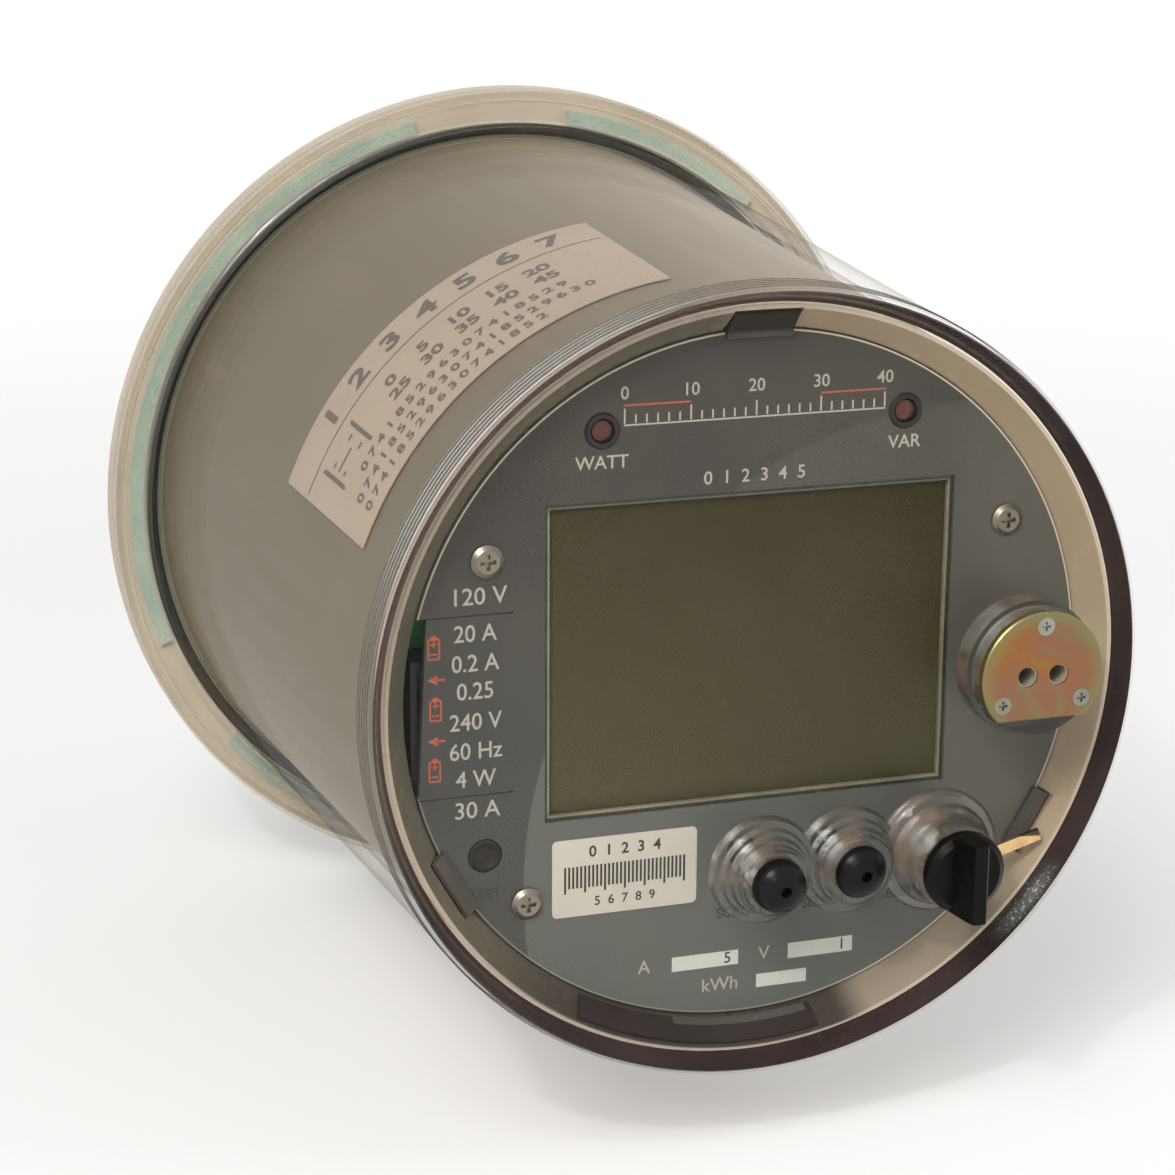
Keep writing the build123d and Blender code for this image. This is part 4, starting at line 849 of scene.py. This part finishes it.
# The cover is shown without the closed pocket round the rim ring, so that no two
# faces lie in one place.
pocket_inner, pocket_outer = 68.4 * MM, ring_outer - 0.1 * MM
pocket_front, pocket_rear = ring_low.y - 0.05 * MM, ring_high.y + 0.05 * MM


def in_ring_pocket(point):
    """Whether a point lies on the pocket's walls."""
    radius = math.hypot(point.x, point.z)
    return pocket_inner < radius < pocket_outer and pocket_front < point.y < pocket_rear


cover_view = own_copy("cover", "cover_view")
drop_faces(cover_view, in_ring_pocket)
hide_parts("cover")
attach(cover_view, "clear_cover")

# The turrets stand a hair off the window, for the same reason.
turret_view = own_copy("cover_turrets", "turret_view")
window_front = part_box("cover")[0].y
for vertex in turret_view.data.vertices:
    if abs(vertex.co.y - window_front) < 0.01 * MM:
        vertex.co.y -= 0.04 * MM
rounded(turret_view, 0.55 * MM)
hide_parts("cover_turrets")
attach(turret_view, "clear_cover")

# The springs, between the turrets' floors and the plungers, are shown as copies with their placing
# baked in.
for button in ("scroll", "select"):
    spring_view = own_copy(f"{button}_spring", f"{button}_spring_view")
    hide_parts(f"{button}_spring")
    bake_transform(spring_view)

# moulded fillet where the cover's wall rises from its flange, just clear of both; in mm
spots = [(math.hypot(v.co.x, v.co.z) / MM, -v.co.y / MM) for v in nodes["cover"].data.vertices]
deck = min(depth for radius, depth in spots if depth > 5.0 and 80.5 < radius < 82.0)
wall = max(radius for radius, depth in spots if 0.5 < depth - deck < 1.5 and radius < 81.0)
fillet, gap, arc_steps = 2.2, 0.03, 10
section = []
for step in range(arc_steps + 1):
    turn = math.pi + math.pi / 2 * step / arc_steps
    section.append((wall + gap + fillet + fillet * math.cos(turn),
                    deck + gap + fillet + fillet * math.sin(turn)))
section += [(wall + 0.9, deck + gap), (wall + gap, deck + 1.05)]
foot_fillet = new_piece(
    "foot_fillet", *turned([(radius * MM, -depth * MM) for radius, depth in section], 180),
    fillet_shell())
shade_smooth(foot_fillet.data, 40)
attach(foot_fillet, "clear_cover")


# ---------------------------------------------------------------------- printing

CAP_SHARE = 0.7    # height of a capital in a font of size 1


def letter_mesh(text, cap, align="CENTER", squeeze=1.0, weight=0.03):
    """Flat mesh of a short text with its capitals cap high, as (points, faces)."""
    curve = bpy.data.curves.new("letters", "FONT")
    curve.body = text
    curve.size = cap / CAP_SHARE
    curve.align_x = align
    curve.align_y = "CENTER"
    curve.offset = weight
    curve.resolution_u = 4
    temporary = bpy.data.objects.new("letters", curve)
    scene.collection.objects.link(temporary)
    bpy.context.view_layer.update()
    mesh = bpy.data.meshes.new_from_object(
        temporary.evaluated_get(bpy.context.evaluated_depsgraph_get()))
    points = [(v.co.x * squeeze, v.co.y) for v in mesh.vertices]
    faces = [tuple(p.vertices) for p in mesh.polygons]
    bpy.data.objects.remove(temporary)
    bpy.data.curves.remove(curve)
    bpy.data.meshes.remove(mesh)
    return points, faces


def bar(x0, y0, x1, y1):
    """Rectangle as (points, faces)."""
    return [(x0, y0), (x1, y0), (x1, y1), (x0, y1)], [(0, 1, 2, 3)]


def bars(x0, y0, x1, y1, pieces):
    """A long bar in short lengths, so that it follows a face that is curved or bends."""
    step = (x1 - x0) / pieces
    return [bar(x0 + i * step, y0, x0 + (i + 1) * step, y1) for i in range(pieces)]


def outline(x0, y0, x1, y1, width):
    """Four bars round a rectangle."""
    return [bar(x0, y0, x1, y0 + width), bar(x0, y1 - width, x1, y1),
            bar(x0, y0 + width, x0 + width, y1 - width),
            bar(x1 - width, y0 + width, x1, y1 - width)]


def moved(shape, x, y, turn=0.0):
    """A shape turned by degrees and then shifted."""
    points, faces = shape
    c, s = math.cos(math.radians(turn)), math.sin(math.radians(turn))
    return [(x + a * c - b * s, y + a * s + b * c) for a, b in points], faces


def words(*rows, **style):
    """Shapes of short texts from rows of (text, height of capitals, x, y)."""
    return [moved(letter_mesh(text, cap, **style), x, y) for text, cap, x, y in rows]


def printing(name, shapes, lay, material, body="meter"):
    """One mesh of flat shapes, each point laid on a surface by lay(x, y) in mm.

    body is None for a piece that is left unattached."""
    points, faces = joined(shapes)
    piece = new_piece(name, [lay(x, y) for x, y in points], faces, material)
    if body:
        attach(piece, body)
    return piece


def flat_on(node, lift=0.03):
    """lay() for the front face of a node."""
    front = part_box(node)[0].y - lift * MM
    return lambda x, y: (x * MM, front, y * MM)


light_ink = ink("light_ink", (166, 162, 151), (136, 133, 124))
white_ink = ink("white_ink", (196, 200, 192), (178, 182, 174))
orange_ink = ink("orange_ink", (168, 84, 52), (132, 66, 44))
grey_ink = ink("grey_ink", (38, 36, 34), (50, 48, 45))
black_ink = ink("black_ink", (44, 41, 38), (62, 58, 54))
faded_ink = ink("faded_ink", (76, 68, 60), (94, 84, 74))

on_plate, on_flap = flat_on("faceplate"), flat_on("battery_flap")

# captions, the ratings above and below the flap, and a 0-40 scale between the lamps
plate_light = words(("WATT", 2.3, -28.0, 41.4), ("VAR", 2.3, 28.0, 41.4),
                    ("0  1  2  3  4  5", 2.3, 0.0, 37.3),
                    ("120 V", 3.0, -50.0, 19.6), ("30 A", 3.0, -50.4, -18.8))
plate_light += words(("A", 2.5, -20.6, -52.3), ("V", 2.5, 2.6, -52.4),
                     ("kWh", 2.5, -8.4, -57.4), align="LEFT")
scale_end, tick_half, tick_foot = 24.0, 0.16, 48.0
for step in range(25):
    x = -scale_end + step * 2.0
    top = tick_foot + (2.6 if step % 6 == 0 else 1.5)
    plate_light.append(bar(x - tick_half, tick_foot, x + tick_half, top))
scale_left, scale_right = -scale_end - tick_half, scale_end + tick_half
plate_light.append(bar(scale_left, 47.55, scale_right, 47.85))
plate_light += words(*((str(i * 10), 2.2, -scale_end + i * 12.0, 53.2) for i in range(5)))
printing("plate_legend_light", plate_light, on_plate, light_ink)

printing("plate_fields", [bar(-14.1, -53.8, -1.3, -51.0), bar(8.4, -54.0, 21.1, -51.0),
                          bar(2.3, -58.9, 12.1, -56.3)], on_plate, white_ink)
printing("plate_field_numbers", words(("5", 2.1, -3.4, -52.4), ("1", 2.1, 19.0, -52.5)),
         flat_on("faceplate", 0.05), black_ink)
printing("plate_key_names", words(("TEST", 1.9, -49.0, -34.6), ("SCROLL", 1.9, -1.0, -43.6),
                                  ("SELECT", 1.9, 15.2, -43.6), ("RESET", 1.9, 29.5, -43.6)),
         on_plate, grey_ink)
printing("plate_legend_orange", [bar(scale_left, 51.0, -12.0, 51.3),
                                 bar(12.0, 51.0, scale_right, 51.3)], on_plate, orange_ink)

ratings = (("20 A", 13.1), ("0.2 A", 7.8), ("0.25", 2.8), ("240 V", -2.7), ("60 Hz", -8.0),
           ("4 W", -13.1))
printing("flap_legend_light",
         words(*((text, 3.0, -50.6, y) for text, y in ratings), squeeze=0.92),
         on_flap, light_ink, "battery_door")

# battery signs, and arrows that point to the flap's free edge
battery_sign = outline(-1.1, -1.9, 1.1, 1.9, 0.3)
battery_sign += [bar(-0.5, 1.9, 0.5, 2.4), bar(-0.6, 0.75, 0.6, 1.05),
                 bar(-0.15, 0.3, 0.15, 1.5), bar(-0.6, -1.05, 0.6, -0.75)]
arrow = [(-0.9, -0.6), (0.9, -0.6), (0.0, 1.2)], [(0, 1, 2)]
marks = [moved(shape, -57.7 - abs(y) * 0.02, y) for y in (11.0, 0.0, -11.0)
         for shape in battery_sign]
for y in (5.5, -5.5):
    marks += [moved(arrow, -57.9, y, 90), bar(-57.6, y - 0.2, -56.0, y + 0.2)]
printing("flap_legend_orange", marks, on_flap, orange_ink, "battery_door")

# film over the flap's hinge line, in short lengths
flap_low, flap_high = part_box("battery_flap")
hinge_x, film_inset, bend_half = flap_high.x / MM - 0.8, 1.5, 1.4
hinge_film = printing(
    "hinge_film", bars(hinge_x - 1.6, flap_low.z / MM + film_inset, hinge_x + 1.8,
                       flap_high.z / MM - film_inset, 14),
    flat_on("faceplate", 0.02), print_film, None)
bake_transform(hinge_film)

# dark sleeves in the two port holes, between the plate and the lenses
lens_low, lens_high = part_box("port_windows")
lens_radius = (lens_high.z - lens_low.z) / 2
sleeve_outer, sleeve_inner = lens_radius - 0.02 * MM, lens_radius - 0.25 * MM
sleeve_front, sleeve_rear = port_low.y + 0.4 * MM, lens_low.y - 0.05 * MM
sleeve = ((sleeve_inner, sleeve_rear), (sleeve_outer, sleeve_rear),
          (sleeve_outer, sleeve_front), (sleeve_inner, sleeve_front))
port_sleeves = new_piece(
    "port_sleeves", *joined(turned(sleeve, 40, lens_x, (lens_high.z + lens_low.z) / 2)
                            for lens_x in (lens_low.x + lens_radius, lens_high.x - lens_radius)),
    lens_dark)
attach(port_sleeves, "clear_cover")

# white plate label: a ruled scale between two rows of numbers
(label_left, _, label_low), (label_right, _, label_high) = (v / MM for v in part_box("serial_label"))
label_middle = (label_left + label_right) / 2
tick_gaps, side_space = 30, 2.4
tick_pitch = (label_right - label_left - 2 * side_space) / tick_gaps
ruled = []
for step in range(tick_gaps + 1):
    x = label_left + side_space + step * tick_pitch
    foot = label_low + (4.4 if step % 5 == 0 else 5.3)
    ruled.append(bar(x - 0.2, foot, x + 0.2, label_low + 9.4))
ruled += words(("0  1  2  3  4", 2.0, label_middle, label_high - 2.6), weight=0.06)
ruled += words(("5  6  7  8  9", 1.7, label_middle, label_low + 2.5))
printing("serial_label_scale", ruled, flat_on("serial_label", 0.02), black_ink)

# side label: printing wrapped on the housing's taper
side_low, side_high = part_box("housing_label")
side_points = [v.co for v in nodes["housing_label"].data.vertices]
side_angles = [math.atan2(point.z, point.x) for point in side_points]
front_radius, rear_radius = (
    max(math.hypot(p.x, p.z) for p in side_points if abs(p.y - depth) < 0.1 * MM)
    for depth in (side_low.y, side_high.y))
mean_radius = (front_radius + rear_radius) / 2


def wrapped(x, y):
    """x mm along the label from its lower end, y mm from its front edge to the rear."""
    share = y * MM / (side_high.y - side_low.y)
    radius = front_radius + share * (rear_radius - front_radius) + 0.04 * MM
    angle = max(side_angles) - x * MM / mean_radius
    return radius * math.cos(angle), side_low.y + y * MM, radius * math.sin(angle)


label_length = (max(side_angles) - min(side_angles)) * mean_radius / MM
rule_foot = (side_high.y - side_low.y) / MM * 0.73
side = bars(1.0, rule_foot, label_length - 1.0, rule_foot + 0.35, 40)
# rows of (texts, height of capitals, stroke weight, first x, pitch, y)
for texts, cap, weight, start, pitch, row in (
        ([i + 1 for i in range(7)], 6.2, 0.3, 15.0, 8.8, 40.4),
        ([i * 5 for i in range(5)], 3.6, 0.16, 27.0, 8.4, 27.4),
        ([i * 5 + 25 for i in range(5)], 3.6, 0.16, 27.0, 8.4, 21.6),
        ([i * 7 % 10 for i in range(18)], 2.7, 0.1, 12.0, 2.9, 14.8),
        ([i * 7 % 10 for i in range(21)], 2.7, 0.1, 7.0, 2.9, 9.6),
        ([i * 7 % 10 for i in range(17)], 2.7, 0.1, 7.0, 2.9, 4.6)):
    side += words(*((str(text), cap, start + i * pitch, row) for i, text in enumerate(texts)),
                  weight=weight)
side += outline(6.0, 18.5, 17.0, 31.5, 0.9)
side += [bar(8.0, 21.2, 15.0, 22.0), bar(8.0, 24.2, 13.0, 25.0), bar(8.0, 27.2, 15.0, 28.0)]
printing("side_label_print", side, wrapped, faded_ink)


# ------------------------------------------------------------- floor and light

WHITE = (1, 1, 1, 1)
CAMERA_PLACE = Vector((-182.9, -612.2, 156.9)) * MM
CAMERA_TARGET = Vector((0.774, -60.05, -8.49)) * MM
CAMERA_ROLL = math.radians(0.314)
SENSOR_WIDTH = 36.0
FOCAL_PIXELS, PHOTO_PIXELS = 2924.5, 1175


def stage_material():
    """Pale studio floor that keeps the object's shadow and turns to plain white further out."""
    s = Shader("studio_floor")
    colour = s.fade(s.noise(3.0, 2.0, 0.5), (0.93, 0.93, 0.93, 1), (0.9, 0.9, 0.9, 1))
    matt = s.principled(Base_Color=colour, Roughness=0.9, Specular_IOR_Level=0.1)
    x, y, _ = s.xyz()
    far = s.span(s.length(x, y), 0.1, 0.75, 0.3, 1.0)
    return s.done(s.shader_mix(s.times(s.seen_directly(), far), matt,
                               s.plain_light("Emission", WHITE, 1.0)))


def make_floor():
    size = 12.0
    level = cad_box[0].z - 0.2 * MM
    new_piece("studio_floor", [
        (-size, -size, level), (size, -size, level), (size, size, level),
        (-size, size, level)], [(0, 1, 2, 3)], stage_material())


def make_world():
    """White where it is seen directly, a dimmer warm white as light."""
    world = bpy.data.worlds.new("studio")
    world.use_nodes = True
    scene.world = world
    s = Shader(tree=world.node_tree, output="OutputWorld")
    s.done(s.shader_mix(s.seen_directly(),
                        s.plain_light("Background", (1.0, 0.985, 0.96, 1), 0.46),
                        s.plain_light("Background", WHITE, 1.0)))


def soft_light(name, place, width, height, power, colour=(1, 1, 1), mirrored=True):
    """Area light turned to the middle of the meter."""
    lamp = bpy.data.lights.new(name, "AREA")
    lamp.shape = "RECTANGLE"
    lamp.size, lamp.size_y = width, height
    lamp.energy = power
    lamp.color = colour
    thing = bpy.data.objects.new(name, lamp)
    thing.location = place
    scene.collection.objects.link(thing)
    towards = Vector((0.0, -0.09, 0.0)) - thing.location
    thing.rotation_mode = "QUATERNION"
    thing.rotation_quaternion = towards.to_track_quat("-Z", "Y")
    thing.visible_glossy = mirrored


def make_camera():
    """Camera at the photograph's angle."""
    lens = bpy.data.cameras.new("camera")
    lens.sensor_width = SENSOR_WIDTH
    lens.lens = SENSOR_WIDTH * FOCAL_PIXELS / PHOTO_PIXELS
    lens.clip_start, lens.clip_end = 0.02, 60.0
    camera = bpy.data.objects.new("camera", lens)
    turn = (CAMERA_TARGET - CAMERA_PLACE).to_track_quat("-Z", "Y").to_matrix().to_4x4()
    camera.matrix_world = (Matrix.Translation(CAMERA_PLACE) @ turn
                           @ Matrix.Rotation(CAMERA_ROLL, 4, "Z"))
    scene.collection.objects.link(camera)
    scene.camera = camera


make_floor()
make_world()
make_camera()
soft_light("key", (-0.85, -1.15, 1.25), 0.9, 0.9, 23.0, (1.0, 0.985, 0.96))
soft_light("fill", (1.3, -0.7, 0.7), 0.8, 1.0, 8.0, (0.96, 0.98, 1.0), mirrored=False)
soft_light("flash", (-0.36, -0.55, 0.46), 0.04, 0.04, 1.0)
scene.view_settings.view_transform = "Standard"
